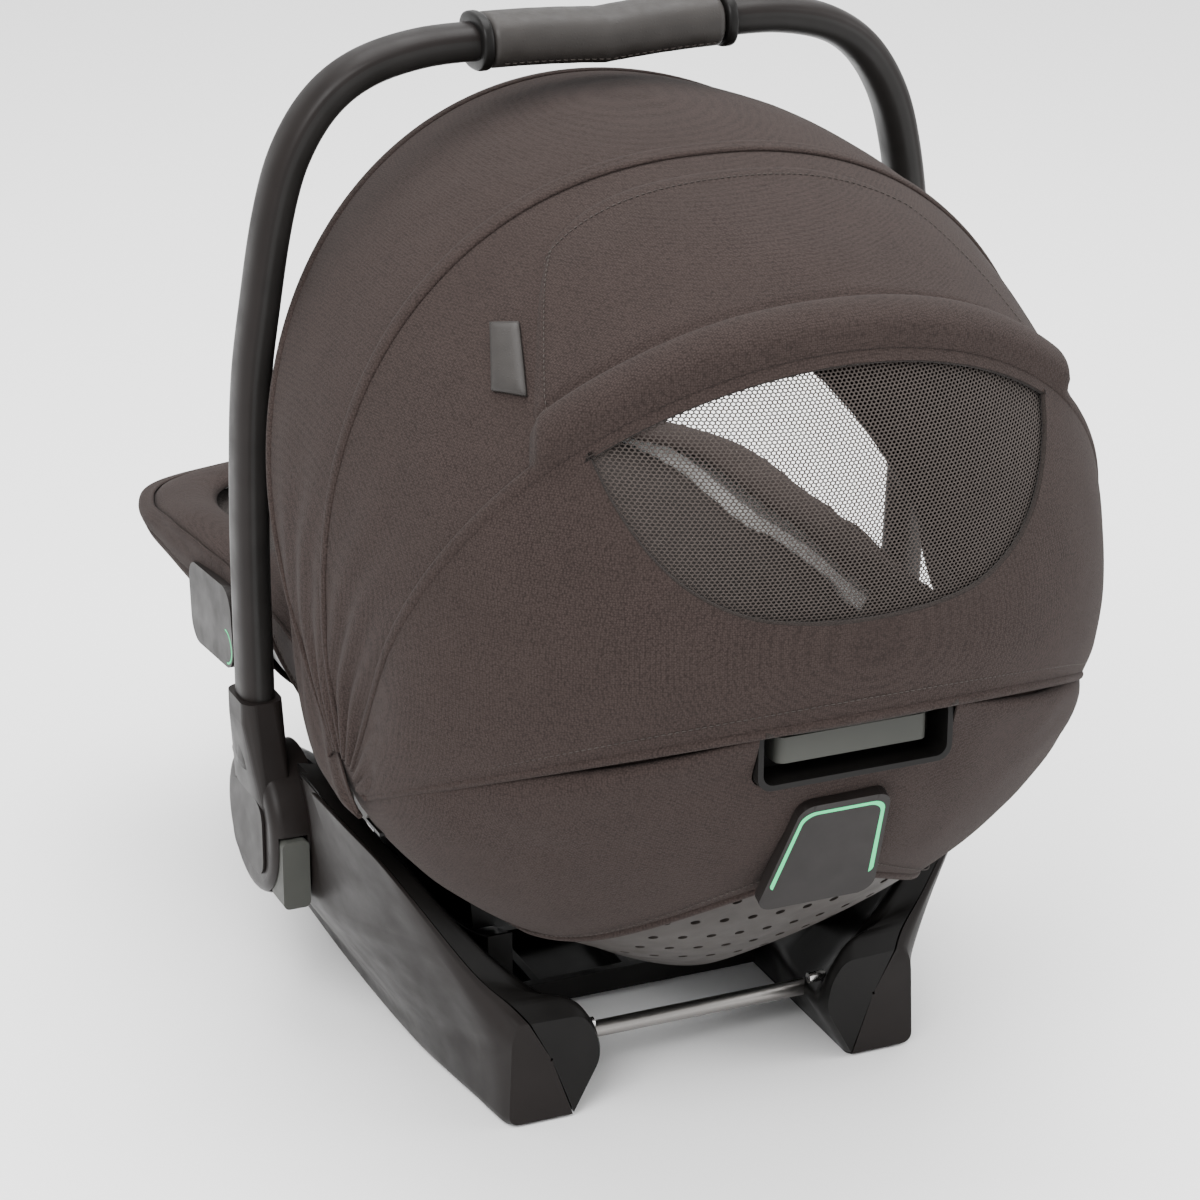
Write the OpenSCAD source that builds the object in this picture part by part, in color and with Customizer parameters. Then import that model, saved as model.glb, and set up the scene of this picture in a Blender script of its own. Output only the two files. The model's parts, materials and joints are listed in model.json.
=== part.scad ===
// Infant car seat: a lie-flat carrier on a two-rail chassis, with a swinging carry handle and a folding canopy.
// Millimetres. +X is the child's left, +Y points to the foot end, +Z is up. The floor is z = 0.

/* [Carry handle] */
// Height of the hub axis above the floor
hub_z = 124; // [118:1:128]
// Position of the hub axis along the seat
hub_y = 4; // [0:1:8]
// Distance of each hub's outer face from the middle plane
hub_face_x = 207.5; // [206:0.5:209]
// Radius of the hub drum
hub_r = 43; // [41:1:44]
// Radius of the spindle that the hub turns on
spindle_r = 8; // [6:0.5:10]
// Width of the handle tube across the leg
tube_w = 20; // [18:1:21]
// Depth of the handle tube along the seat
tube_d = 29; // [26:1:31]
// Half length of the grip sleeve
grip_half = 68; // [60:1:74]

/* [Chassis] */
// Radius of the docking rods between the rails
rod_r = 4.75; // [4:0.25:5.5]
// Height of the docking rods above the floor
rod_z = 32; // [30:1:34]
// Position of the rear docking rod along the seat
rear_rod_y = -145; // [-150:1:-140]
// Position of the front docking rod along the seat
front_rod_y = 95; // [85:1:110]

/* [Shell] */
// Height of the centre of the recline arc
recline_z = 330; // [328:1:332]
// Position of the centre of the recline arc along the seat
recline_y = -20; // [-21:1:-19]
// Thickness of the moulded bucket
bucket_t = 4; // [3:0.5:4.5]
// Thickness of the energy-absorbing foam
foam_t = 17; // [12:1:18]

/* [Canopy] */
// Half distance between the canopy pivots, at the fabric
pivot_x = 202; // [200:0.5:203]
// Position of the canopy pivot along the seat
pivot_y = -148; // [-149:1:-147]
// Height of the canopy pivot above the floor
pivot_z = 201; // [200:1:202]
// Thickness of the canopy fabric
cloth_t = 2.5; // [2:0.5:3]
// Radius of the canopy bow wires
wire_r = 2.5; // [2:0.25:2.5]

/* [Hidden] */
$fn = 64;

fabric = [0.34, 0.31, 0.30];
plastic = [0.17, 0.15, 0.15];
black = [0.06, 0.06, 0.06];

// ---- shared helpers ----
function mix(a, b, t) = a + (b - a) * t;
// Smooth value of a table of rows at a fractional row number (Catmull-Rom)
function row_at(table, u) =
  let (last = len(table) - 1, i = min(floor(u), last - 1), t = u - i,
       p0 = table[max(i - 1, 0)], p1 = table[i], p2 = table[i + 1], p3 = table[min(i + 2, last)])
  p1 + ((p2 - p0) * t + (2 * p0 - 5 * p1 + 4 * p2 - p3) * t * t
        + (3 * p1 - p0 - 3 * p2 + p3) * t * t * t) / 2;
function power(v, n) = sign(v) * pow(abs(v), n);

// Closed solid between two grids of points of the same size
module slab(a, b) {
  m = len(a);
  n = len(a[0]);
  k = m * n;
  faces_a = [for (i = [0:m - 2], j = [0:n - 2]) let (p = i * n + j)
             each [[p, p + n + 1, p + 1], [p, p + n, p + n + 1]]];
  faces_b = [for (f = faces_a) [f[0] + k, f[2] + k, f[1] + k]];
  rim = concat([for (j = [0:n - 1]) j], [for (i = [1:m - 1]) i * n + n - 1],
               [for (j = [n - 2:-1:0]) (m - 1) * n + j], [for (i = [m - 2:-1:1]) i * n]);
  edge = [for (q = [0:len(rim) - 1]) let (p = rim[q], r = rim[(q + 1) % len(rim)])
          each [[p, r, r + k], [p, r + k, p + k]]];
  polyhedron([for (g = [a, b]) for (row = g) each row], concat(faces_a, faces_b, edge));
}

// Closed solid through a row of flat rings
module loft(rings) {
  m = len(rings);
  n = len(rings[0]);
  sides = [for (i = [0:m - 2], j = [0:n - 1]) let (p = i * n + j, q = i * n + (j + 1) % n)
           each [[p, q, q + n], [p, q + n, p + n]]];
  polyhedron([for (r = rings) each r],
             concat(sides, [[for (j = [n - 1:-1:0]) j]], [[for (j = [0:n - 1]) (m - 1) * n + j]]));
}

module both_sides() {
  children();
  mirror([1, 0, 0]) children();
}
// Cylinder along X between two x positions
module rod_x(r, x0, x1, y, z) {
  translate([x0, y, z]) rotate([0, 90, 0]) cylinder(h = x1 - x0, r = r);
}
module box(low, high) {
  translate(low) cube(high - low);
}
// Plate with round corners in the YZ plane, its middle at the origin
module round_plate(size_y, size_z, r, t) {
  rotate([90, 0, 90]) linear_extrude(t)
    hull() for (sy = [-1, 1], sz = [-1, 1]) translate([sy * (size_y / 2 - r), sz * (size_z / 2 - r)])
      circle(r, $fn = 32);
}

// ---- shell surface: sections in planes through the recline axis ----
// angle behind straight down, half width, radius of the rim, radius of the keel, roundness
shell_rows = [
  [83.4, 36, 329, 329.5, 2], [82.3, 64, 322, 328, 2], [80.7, 92, 312, 326, 2],
  [78.6, 122, 297, 323, 2], [75.4, 156, 268, 320, 2], [71, 181, 236, 317, 2], [64.5, 196, 210, 312, 2],
  [56, 203, 186, 307, 2.05], [48, 203, 165, 304.5, 2.05], [40, 201, 140, 303, 1.9],
  [30, 196, 122, 303, 1.55], [15, 190, 105, 303, 1.5], [0, 187, 97, 303, 1.5],
  [-20, 187, 98, 303, 1.55], [-38, 187, 117, 308, 1.8], [-52, 186, 150, 326, 2.3],
  [-61, 189, 192, 352, 2.9], [-66.5, 190, 244, 376, 3.3], [-69.5, 184, 305, 389, 3.3],
  [-71.2, 164, 350, 393.5, 3], [-72, 118, 374, 395, 2.6], [-72.6, 50, 389, 395, 2.2]
];
shell_end = len(shell_rows) - 1;
shell_mid_z = 250;
shell_scale = [203, 347, 205];
// Moves a point of the outer surface inwards by d
function inset(p, d) = [p[0] * (1 - d / shell_scale[0]), p[1] * (1 - d / shell_scale[1]),
                        shell_mid_z + (p[2] - shell_mid_z) * (1 - d / shell_scale[2])];
function polar(x, rho, angle) = [x, recline_y - rho * sin(angle), recline_z - rho * cos(angle)];
// Point at row u, turned t degrees from the left rim (0) over the keel (90) to the right rim (180)
function shell_point(u, t, d) =
  let (r = row_at(shell_rows, u), e = 2 / r[4])
  inset(polar(-r[1] * power(cos(t), e), mix(r[2], r[3], power(sin(t), e)), r[0]), d);
// Point at row u and a given distance x from the middle plane
function shell_at_x(u, x, d) =
  let (r = row_at(shell_rows, u), q = x / (1 - d / shell_scale[0]) / r[1],
       s = pow(max(1 - pow(abs(q), r[4]), 0), 1 / r[4]))
  inset(polar(q * r[1], mix(r[2], r[3], s), r[0]), d);
// All layers share one grid of rows and columns, so their facets stay parallel
shell_lines = 30;
shell_columns = 20;
function shell_grid(i0, i1, d, trim) =
  [for (i = [i0:i1]) [for (j = [trim:shell_columns - trim])
    shell_point(shell_end * i / shell_lines, 180 * j / shell_columns, d)]];
module shell_layer(i0, i1, d0, d1, trim = 0) {
  slab(shell_grid(i0, i1, d0, trim), shell_grid(i0, i1, d1, trim));
}
cover_d = 4;
bucket_d = 7.5;
foam_d = bucket_d + bucket_t + 0.5;
pad_d = foam_d + foam_t + 0.5;
pad_t = 13;
strap_d = pad_d + pad_t + 3;
// Notch for the canopy mount on each side of the rim
module mount_notch(x) {
  both_sides() box([x, pivot_y - 24, pivot_z - 15], [215, pivot_y + 46, pivot_z + 60]);
}
module recess_notch(half) {
  box([-half, -380, 256], [half, -298, 320]);
}

// ---- canopy surface: bows around the pivot ----
// angle behind upright, apex radius, half width, radius where the leg ends, roundness
bow_visor_row = [-53, 338, 190, 120, 2];
bow_front_row = [-28.3, 374, 213, 139, 2];
bow_middle_row = [-1, 327, 210, 104, 2.27];
bow_rear_row = [30.4, 316, 201, 104, 2];
hem_row = [65, 221, 200, 30, 2];
cloth_start = 26;
// Point of a bow at v = 0..1, from the left leg over the top to the right leg
leg_part = 0.14;
function bow_point(row, v, d, px) =
  let (side = v < 0.5 ? -1 : 1, w = v < 0.5 ? v : 1 - v, leg = w < leg_part,
       s = leg ? w / leg_part : 1, t = leg ? 0 : 90 * (w - leg_part) / (0.5 - leg_part), e = 2 / row[4],
       half = row[2] - d,
       x = leg ? mix(px - d, half, sin(90 * s)) : half * power(cos(t), e),
       r = leg ? mix(cloth_start, row[3], s) : mix(row[3], row[1] - d, power(sin(t), e)))
  [side * x, pivot_y - r * sin(row[0]), pivot_z + r * cos(row[0])];
function cloth_grid(a, b, rows, d, columns = 28, sag = 0) =
  [for (i = [0:rows]) let (q = i / rows, r = mix(a, b, q) - [0, sag * 4 * q * (1 - q), 0, 0, 0])
    [for (j = [0:columns]) bow_point(r, j / columns, d, pivot_x)]];
module cloth(a, b, rows, sag = 0, d0 = 0, d1 = cloth_t) {
  slab(cloth_grid(a, b, rows, d0, sag = sag), cloth_grid(a, b, rows, d1, sag = sag));
}

// Wire of one bow with its two pivot discs at x = disc_x
wire_inset = cloth_t + wire_r + 0.7;
module bow(row, disc_x) {
  steps = 32;
  sides = 6;
  path = [for (i = [0:steps]) bow_point(row, i / steps, wire_inset, disc_x + wire_inset)];
  back = [0, cos(row[0]), sin(row[0])];
  rings = [for (i = [0:steps]) let (along = path[min(i + 1, steps)] - path[max(i - 1, 0)],
           out = cross(along / norm(along), back))
           [for (k = [0:sides - 1]) path[i] + wire_r * (cos(360 * k / sides) * out
                                                        + sin(360 * k / sides) * back)]];
  color("dimgray") {
    loft(rings);
    both_sides() difference() {
      union() {
        rod_x(12, disc_x - 2.2, disc_x + 2.2, pivot_y, pivot_z);
        translate([disc_x, pivot_y, pivot_z]) rotate([row[0], 0, 0]) box([-1.4, -1.5, 8], [1.4, 1.5, cloth_start + 1.5]);
      }
      rod_x(pin_r + 0.05, disc_x - 3, disc_x + 3, pivot_y, pivot_z);
    }
  }
}
pin_r = 4;
disc_rear_x = 177;
disc_middle_x = 182;
disc_front_x = 187;
disc_visor_x = 191.9;

// ---- chassis rails ----
// y, floor height, floor inner x, floor outer x, crease x z, mid wall x z, rim outer x z,
// rim inner x z, inner wall x z, inner foot x z
rail_rows = [
  [-179, 2, 86, 124, 122, 50, 121, 56, 118, 63, 80, 62, 72, 50, 69, 34],
  [-172, 0, 85, 126, 125, 49, 127, 60, 127, 73, 84, 71, 72, 54, 66, 34],
  [-164, 0, 85, 127, 128, 47, 137, 72, 144, 96, 112, 80, 90, 66, 66, 34],
  [-154, 0, 85, 128, 130, 44, 152, 96, 173, 142, 150, 128, 112, 78, 67, 34],
  [-142, 0, 85, 129, 132, 41, 160, 100, 185, 160, 168, 154, 124, 84, 68, 33],
  [-115, 0, 85, 132, 138, 34, 171, 98, 193, 169, 176, 164, 134, 88, 72, 32],
  [-75, 0, 85, 136, 142, 24, 181, 92, 195, 170, 174, 163, 136, 92, 80, 30],
  [-17, 0, 85, 138, 142, 17, 188, 88, 196, 168, 164, 160, 136, 96, 82, 28],
  [50, 0, 85, 138, 142, 17, 184, 84, 193, 152, 163, 145, 134, 92, 82, 28],
  [120, 0, 85, 136, 141, 18, 170, 72, 180, 120, 152, 112, 128, 74, 82, 28],
  [180, 0, 85, 134, 138, 20, 153, 54, 161, 86, 136, 79, 118, 54, 84, 28],
  [228, 5, 88, 128, 131, 26, 138, 42, 142, 60, 122, 56, 110, 44, 90, 30],
  [258, 16, 94, 120, 123, 30, 126, 38, 127, 46, 114, 45, 106, 40, 97, 32]
];
rail_end = len(rail_rows) - 1;
rail_steps = 30;
rail_wall = 0.22;
function rail_corners(u) =
  let (r = row_at(rail_rows, u), floor_z = max(r[1], 0))
  [[r[2], floor_z], [r[3], floor_z], [r[4], r[5]], [r[6], r[7]], [r[8], r[9]], [r[10], r[11]],
   [r[12], r[13]], [r[14], r[15]]];
function rail_middle(c) = (c[1] + c[3] + c[5] + c[7]) / 4;
// Wall thickness as a share of the way to the middle; the two ends are solid
function rail_share(i) = (i < 2 || i > rail_steps - 2) ? 0.97 : rail_wall;
function ring_at(points, y) = [for (p = points) [p[0], y, p[1]]];
function rail_ring(i, cover) =
  let (u = rail_end * i / rail_steps, y = row_at(rail_rows, u)[0], c = rail_corners(u),
       mid = rail_middle(c), f = rail_share(i),
       gap = 0.035,
       wall = cover ? [mix(c[4], c[5], gap), c[5], c[6], c[7], mix(c[0], c[7], gap)]
                    : [c[0], c[1], c[2], c[3], c[4]],
       away = cover ? (c[5] - c[4]) * gap : [0, 0],
       inner = [for (k = [4:-1:0]) mix(wall[k], mid + away, f)])
  ring_at(concat(wall, inner), y);
module rail_body(cover) {
  loft([for (i = [0:rail_steps]) rail_ring(i, cover)]);
}
drum_x0 = 178;
button_x = 196;
module rail_cuts() {
  rod_x(hub_r + 1.5, drum_x0 - 1.5, 230, hub_y, hub_z);
  rod_x(hub_r + 18, button_x - 9.5, 230, hub_y, hub_z);
  rod_x(86, 190.5, 230, hub_y, hub_z);
  rod_x(spindle_r + 0.02, 100, 230, hub_y, hub_z);
  box([drum_x0 - 1.5, hub_y - 25, hub_z], [230, hub_y + 25, 260]);
  for (y = [rear_rod_y, front_rod_y]) rod_x(rod_r + 0.02, 50, 84, y, rod_z);
  rod_x(3.05, 60, 76, -161, 46);
  rod_x(3.05, 70, 94, 60, 40);
}
module rail_outer() {
  color(plastic) difference() {
    rail_body(false);
    rail_cuts();
  }
}
module rail_cover() {
  color(black) difference() {
    rail_body(true);
    rail_cuts();
    box([track_x - 0.2, -112.2, 30], [track_x + 15.2, 72.2, 110]);
  }
}
module rail_right() { rail_outer(); }
module rail_left() { mirror([1, 0, 0]) rail_outer(); }
module rail_cover_right() { rail_cover(); }
module rail_cover_left() { mirror([1, 0, 0]) rail_cover(); }
module rear_dock_rod() { color(black) rod_x(rod_r, -80, 80, rear_rod_y, rod_z); }
module front_dock_rod() { color(black) rod_x(rod_r, -83, 83, front_rod_y, rod_z); }
module cross_pan() {
  color(black) {
    box([-81, -62, 6], [81, 72, 12]);
    for (y = [-62, 8, 66]) box([-81, y, 12], [81, y + 6, 20]);
    for (x = [-60, -2.5, 55]) box([x, -62, 12], [x + 5, 72, 20]);
  }
}

// Saddle that the shell's glide rests on, hollowed to the recline arc
glide_rho = 262;
track_x = 94;
module glide_track() {
  color(black) difference() {
    box([track_x, -112, 36], [track_x + 15, 72, 100]);
    rod_x(glide_rho + 0.6, 80, 120, recline_y, recline_z);
    for (y = [-76, -20, 36]) rod_x(9, 80, 120, y, 52);
  }
}
module glide_track_right() { glide_track(); }
module glide_track_left() { mirror([1, 0, 0]) glide_track(); }
module rail_screws() {
  color("silver") both_sides() {
    rod_x(3, 66, 76, -161, 46);
    rod_x(3, 80, 92, 60, 40);
  }
}
module hub_spindle() {
  color("silver") {
    rod_x(spindle_r, 146, 198, hub_y, hub_z);
    rod_x(13, 143, 146, hub_y, hub_z);
  }
}
module hub_spindle_right() { hub_spindle(); }
module hub_spindle_left() { mirror([1, 0, 0]) hub_spindle(); }

// ---- carry handle ----
// Half of the handle's centre line from the socket to the middle of the grip: x and z
handle_line = [[203, 160], [203, 210], [204, 300], [202, 380], [195, 436], [187, 482], [177, 514], [160, 540],
               [137, 556], [105, 564], [68, 565], [30, 563], [0, 562]];
handle_steps = 44;
function handle_y(z) = mix(4, -15, (z - 124) / 438);
function handle_centre(i) =
  let (k = abs(i - handle_steps) / handle_steps, p = row_at(handle_line, (1 - k) * (len(handle_line) - 1)))
  [(i > handle_steps ? -1 : 1) * p[0], handle_y(p[1]), p[1]];
function handle_ring(i, w, d) =
  let (a = handle_centre(max(i - 1, 0)), b = handle_centre(min(i + 1, 2 * handle_steps)),
       along = (b - a) / norm(b - a), across = cross(along, [0, 1, 0]), n = 14)
  [for (k = [0:n - 1]) let (c = cos(360 * k / n), s = sin(360 * k / n))
    handle_centre(i) + across * power(c, 0.8) * w / 2 + [0, power(s, 0.8) * d / 2, 0]];
module handle_sweep(i0, i1, grow = 0) {
  loft([for (i = [i0:i1]) handle_ring(i, tube_w + grow, tube_d + grow)]);
}
module handle_tube() { color(plastic) handle_sweep(0, 2 * handle_steps); }
// Straight bar with the grip's section around the middle of the handle
module grip_bar(x0, x1, grow) {
  loft([for (x = [x0, mix(x0, x1, 0.25), (x0 + x1) / 2, mix(x0, x1, 0.75), x1])
    let (z = grip_height(x), n = 20)
    [for (k = [0:n - 1]) let (c = cos(360 * k / n), s = sin(360 * k / n))
      [x, handle_y(z) + power(s, 0.8) * (tube_d + grow) / 2, z + power(c, 0.8) * (tube_w + grow) / 2]]]);
}
function grip_height(x) = 562 + 3.2 * (1 - pow(1 - min(abs(x), 70) / 70, 2));
module grip_sleeve() {
  color(black) difference() {
    grip_bar(-grip_half, grip_half, 9);
    grip_bar(-grip_half - 1, grip_half + 1, 3);
  }
}
module grip_rings() {
  color(plastic) both_sides() difference() {
    grip_bar(grip_half + 0.3, grip_half + 6.5, 11);
    grip_bar(grip_half - 1, grip_half + 8, 3);
  }
}
module handle_hub() {
  edge = 7;
  color(plastic) difference() {
    union() {
      translate([drum_x0, hub_y, hub_z]) rotate([0, 90, 0]) rotate_extrude()
        polygon(concat([[0, 0], [hub_r, 0]],
                       [for (q = [0:15:90]) [hub_r - edge + edge * cos(q),
                                             hub_face_x - drum_x0 - edge + edge * sin(q)]],
                       [[0, hub_face_x - drum_x0]]));
      hull() {
        rod_x(30, 191, hub_face_x - 3, hub_y, hub_z, $fn = 32);
        translate([203, handle_y(203), 0]) for (sx = [-1, 1], sy = [-1, 1])
          translate([sx * 4.75, sy * 10, 190]) cylinder(h = 13, r = 7.25, $fn = 32);
      }
    }
    handle_sweep(0, 12, 0.4);
    translate([hub_face_x + 0.05, hub_y, hub_z - 3]) round_plate(55, 47, 12.5, 20);
    rod_x(spindle_r + 0.05, drum_x0 - 1, 199, hub_y, hub_z);
    box([button_x - 8.4, hub_y - 60, hub_z - 38.4], [button_x + 8.4, hub_y - 22, hub_z + 5.4]);
    for (z = [-28, -5]) translate([button_x, hub_y - 12, hub_z + z]) rotate([90, 0, 0])
      cylinder(h = 12, r = 3.6);
  }
}
module handle_hub_right() { handle_hub(); }
module handle_hub_left() { mirror([1, 0, 0]) handle_hub(); }
module hub_cap() {
  color(plastic) translate([hub_face_x + 0.1, hub_y, hub_z - 3]) round_plate(54, 46, 12, 1.6);
}
module hub_cap_right() { hub_cap(); }
module hub_cap_left() { mirror([1, 0, 0]) hub_cap(); }
module release_button() {
  color([0.33, 0.34, 0.31]) translate([0, 0, hub_z - 16.5]) {
    hull() for (sx = [-1, 1], sz = [-1, 1]) translate([button_x + sx * 4.4, hub_y - 26, sz * 17])
      rotate([90, 0, 0]) cylinder(h = 20.5, r = 3.6, $fn = 32);
  }
}
module release_button_right() { release_button(); }
module release_button_left() { mirror([1, 0, 0]) release_button(); }
// Coil stood in for by a tube
module button_springs() {
  color("silver") for (z = [-28, -5]) translate([button_x, hub_y - 12.5, hub_z + z]) rotate([90, 0, 0])
    difference() {
      cylinder(h = 13, r = 3.2);
      translate([0, 0, -1]) cylinder(h = 15, r = 2.2);
    }
}
module button_springs_right() { button_springs(); }
module button_springs_left() { mirror([1, 0, 0]) button_springs(); }

// ---- shell ----
module shell_bucket() {
  color(black) difference() {
    shell_layer(0, shell_lines, bucket_d, bucket_d + bucket_t);
    mount_notch(165);
    recess_notch(55);
  }
}
// Runners under the bucket that slide on the chassis tracks
module shell_glides() {
  top = [for (i = [0:8]) [for (x = [95, 101.5, 108]) shell_at_x(mix(11, 13.6, i / 8), x, bucket_d - 0.1)]];
  sole = [for (row = top) [for (p = row) polar(p[0], glide_rho, atan2(recline_y - p[1], recline_z - p[2]))]];
  color(black) {
    slab(sole, top);
    mirror([1, 0, 0]) slab(sole, top);
  }
}
// Rear fabric, cut away in the middle to show the vented shell
module shell_cover() {
  color(fabric) difference() {
    shell_layer(0, 14, cover_d, cover_d + 3);
    recess_notch(54.6);
    both_sides() box([150, pivot_y - 26, pivot_z - 17], [240, 0, 262]);
    translate([0, 0, -10]) linear_extrude(198)
      polygon([[-88, -168], [-20, -266], [20, -266], [88, -168], [110, 100], [-110, 100]]);
  }
}
module foot_cover() {
  color(fabric) shell_layer(20, shell_lines, cover_d, cover_d + 3);
}
module foam_liner() {
  color("white") difference() {
    shell_layer(1, shell_lines - 1, foam_d, foam_d + foam_t, 1);
    mount_notch(155);
    recess_notch(55);
  }
}
module seat_pad() {
  color(fabric) difference() {
    shell_layer(2, shell_lines - 2, pad_d, pad_d + pad_t, 1);
    mount_notch(145);
    box([-56, -380, 250], [56, -308, 320]);
  }
}
head_angle = 58;
head_rho = 249;
module headrest() {
  outer = [for (q = [0:12:180]) [118 * cos(q), 96 - 96 * power(sin(q), 0.7)]];
  inner = [for (q = [180:-12:0]) [84 * cos(q), 96 - 74 * power(sin(q), 0.8)]];
  color(fabric) translate([0, recline_y - head_rho * sin(head_angle), recline_z - head_rho * cos(head_angle)])
    rotate([90 - head_angle, 0, 0]) translate([0, 0, -52]) linear_extrude(104)
      polygon(concat(outer, inner));
}
// Flat strap on the seat pad: a list of row, middle x and half width
module strap(line, d, t, steps = 8) {
  points = [for (i = [0:steps]) row_at(line, (len(line) - 1) * i / steps)];
  layer = [d, d + t];
  g = [for (k = layer) [for (p = points) [for (c = [-1, -0.33, 0.33, 1]) shell_at_x(p[0], p[1] + c * p[2], k)]]];
  slab(g[0], g[1]);
}
module shoulder_straps() {
  color("gray") {
    strap([[8, -46, 19], [9.5, -42, 19], [11.6, -22, 15]], strap_d, 2);
    strap([[8, 46, 19], [9.5, 42, 19], [11.6, 22, 15]], strap_d, 2);
  }
}
module chest_pads() {
  color(fabric) {
    strap([[8.3, -46, 26], [9.2, -43, 26], [10.3, -36, 24]], strap_d + 3, 9);
    strap([[8.3, 46, 26], [9.2, 43, 26], [10.3, 36, 24]], strap_d + 3, 9);
  }
}
module hip_straps() {
  color("gray") {
    strap([[12.3, -112, 17], [12.25, -70, 17], [12.1, -42, 12]], strap_d, 2);
    strap([[12.3, 112, 17], [12.25, 70, 17], [12.1, 42, 12]], strap_d, 2);
  }
}
module crotch_strap() {
  color("gray") strap([[12.75, 0, 18], [13.4, 0, 18], [14, 0, 18]], strap_d, 2);
}
module at_shell(angle, rho) {
  translate([0, recline_y - rho * sin(angle), recline_z - rho * cos(angle)]) rotate([-angle, 0, 0]) children();
}
buckle_angle = -4;
buckle_rho = 250;
module buckle_body() {
  color(black) at_shell(buckle_angle, buckle_rho) difference() {
    hull() for (sx = [-1, 1], sy = [-1, 1]) translate([sx * 15, sy * 22, -1])
      cylinder(h = 18, r = 9, $fn = 32);
    box([-12.3, -12.3, 4], [12.3, 12.3, 30]);
  }
}
module buckle_button() {
  color("firebrick") at_shell(buckle_angle, buckle_rho) box([-12, -12, 7.5], [12, 12, 19]);
}
adjuster_angle = -44;
adjuster_rho = 258;
module adjuster_housing() {
  color(black) at_shell(adjuster_angle, adjuster_rho) difference() {
    hull() for (sx = [-1, 1], sy = [-1, 1]) translate([sx * 16, sy * 14, -4])
      cylinder(h = 10, r = 6, $fn = 32);
    box([-10.3, -8.3, 0], [10.3, 8.3, 20]);
  }
}
module adjuster_button() {
  color("gray") at_shell(adjuster_angle, adjuster_rho) box([-10, -8, 2.6], [10, 8, 8]);
}
module adjuster_strap() {
  color("gray") strap([[15.1, 0, 13], [16, 0, 13], [17.2, 0, 13]], strap_d, 1.6);
}
module recess_liner() {
  color(black) difference() {
    hull() for (sx = [-1, 1], z = [265, 285]) translate([sx * 46, -312, z])
      rotate([90, 0, 0]) cylinder(h = 25, r = 8, $fn = 32);
    hull() for (sx = [-1, 1], z = [266, 284]) translate([sx * 45, -315, z])
      rotate([90, 0, 0]) cylinder(h = 30, r = 6, $fn = 32);
  }
}
module recline_handle() {
  color([0.33, 0.34, 0.31]) hull() for (sx = [-1, 1], sy = [-1, 1])
    translate([sx * 37, -324.5 + sy * 4, 269]) cylinder(h = 14, r = 5, $fn = 32);
}
paddle_tilt = 25.6;
module at_paddle() {
  translate([0, -312, 204.5]) rotate([paddle_tilt, 0, 0]) rotate([90, 0, 0]) children();
}
module paddle_outline(grow) {
  hull() {
    for (sx = [-1, 1]) {
      translate([sx * (17 + grow), 31 + grow]) circle(9, $fn = 32);
      translate([sx * (24 + grow), -31 - grow]) circle(9, $fn = 32);
    }
  }
}
module belt_paddle() {
  color(plastic) at_paddle() {
    difference() {
      translate([0, 0, -6]) linear_extrude(6) paddle_outline(0);
      translate([0, 0, -0.8]) linear_extrude(3) paddle_arc();
    }
    translate([0, 4, -9]) cylinder(h = 4, r = 12);
  }
}
// Arc of the paddle's guide mark, drawn as a narrow band
module paddle_arc() {
  difference() {
    hull() for (sx = [-1, 1]) {
      translate([sx * 16, 27]) circle(8, $fn = 32);
      translate([sx * 25.5, -20]) circle(4, $fn = 32);
    }
    hull() for (sx = [-1, 1]) {
      translate([sx * 14.2, 24.6]) circle(8, $fn = 32);
      translate([sx * 23, -30]) circle(5, $fn = 32);
    }
  }
}
module paddle_inlay() {
  color([0.25, 0.75, 0.5]) at_paddle() translate([0, 0, -0.7]) linear_extrude(0.8) paddle_arc();
}
guide_y = 122;
guide_z = 203;
guide_tilt = -5;
module belt_guide() {
  color(plastic) translate([184.2, guide_y, guide_z]) rotate([guide_tilt, 0, 0]) {
    difference() {
      round_plate(80, 50, 14, 5.5);
      translate([5, 0, 0]) guide_arc();
    }
    rod_x(10, -6, 1, 8, 6);
  }
}
module guide_arc() {
  rotate([90, 0, 90]) linear_extrude(1) difference() {
    translate([-27, -12]) circle(11, $fn = 48);
    translate([-27, -12]) circle(9.4, $fn = 48);
    translate([-27, -24]) square([30, 36]);
  }
}
module belt_guide_right() { belt_guide(); }
module belt_guide_left() { mirror([1, 0, 0]) belt_guide(); }
module belt_guide_inlays() {
  color([0.25, 0.75, 0.5]) both_sides() translate([189.3, guide_y, guide_z])
    rotate([guide_tilt, 0, 0]) guide_arc_thin();
}
module guide_arc_thin() {
  rotate([90, 0, 90]) linear_extrude(0.5) difference() {
    translate([-27, -12]) circle(10.8, $fn = 48);
    translate([-27, -12]) circle(9.6, $fn = 48);
    translate([-27, -24]) square([30, 36]);
  }
}

// ---- canopy ----
module canopy_mount() {
  color(black) {
    box([157, pivot_y - 22, pivot_z - 14], [173, pivot_y + 22, pivot_z + 14]);
    box([172, pivot_y - 22, pivot_z - 14.5], [192, pivot_y + 22, pivot_z - 12.6]);
    rod_x(pin_r, 172, 194.6, pivot_y, pivot_z);
  }
}
module canopy_mount_right() { canopy_mount(); }
module canopy_mount_left() { mirror([1, 0, 0]) canopy_mount(); }
module bow_rear() { bow(bow_rear_row, disc_rear_x); }
module bow_middle() { bow(bow_middle_row, disc_middle_x); }
// The front bow's wire lies a little lower, to pass under the grip
module bow_front() { bow(bow_front_row - [0, 2, 0, 0, 0], disc_front_x); }
module bow_visor() { bow(bow_visor_row, disc_visor_x); }
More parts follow.
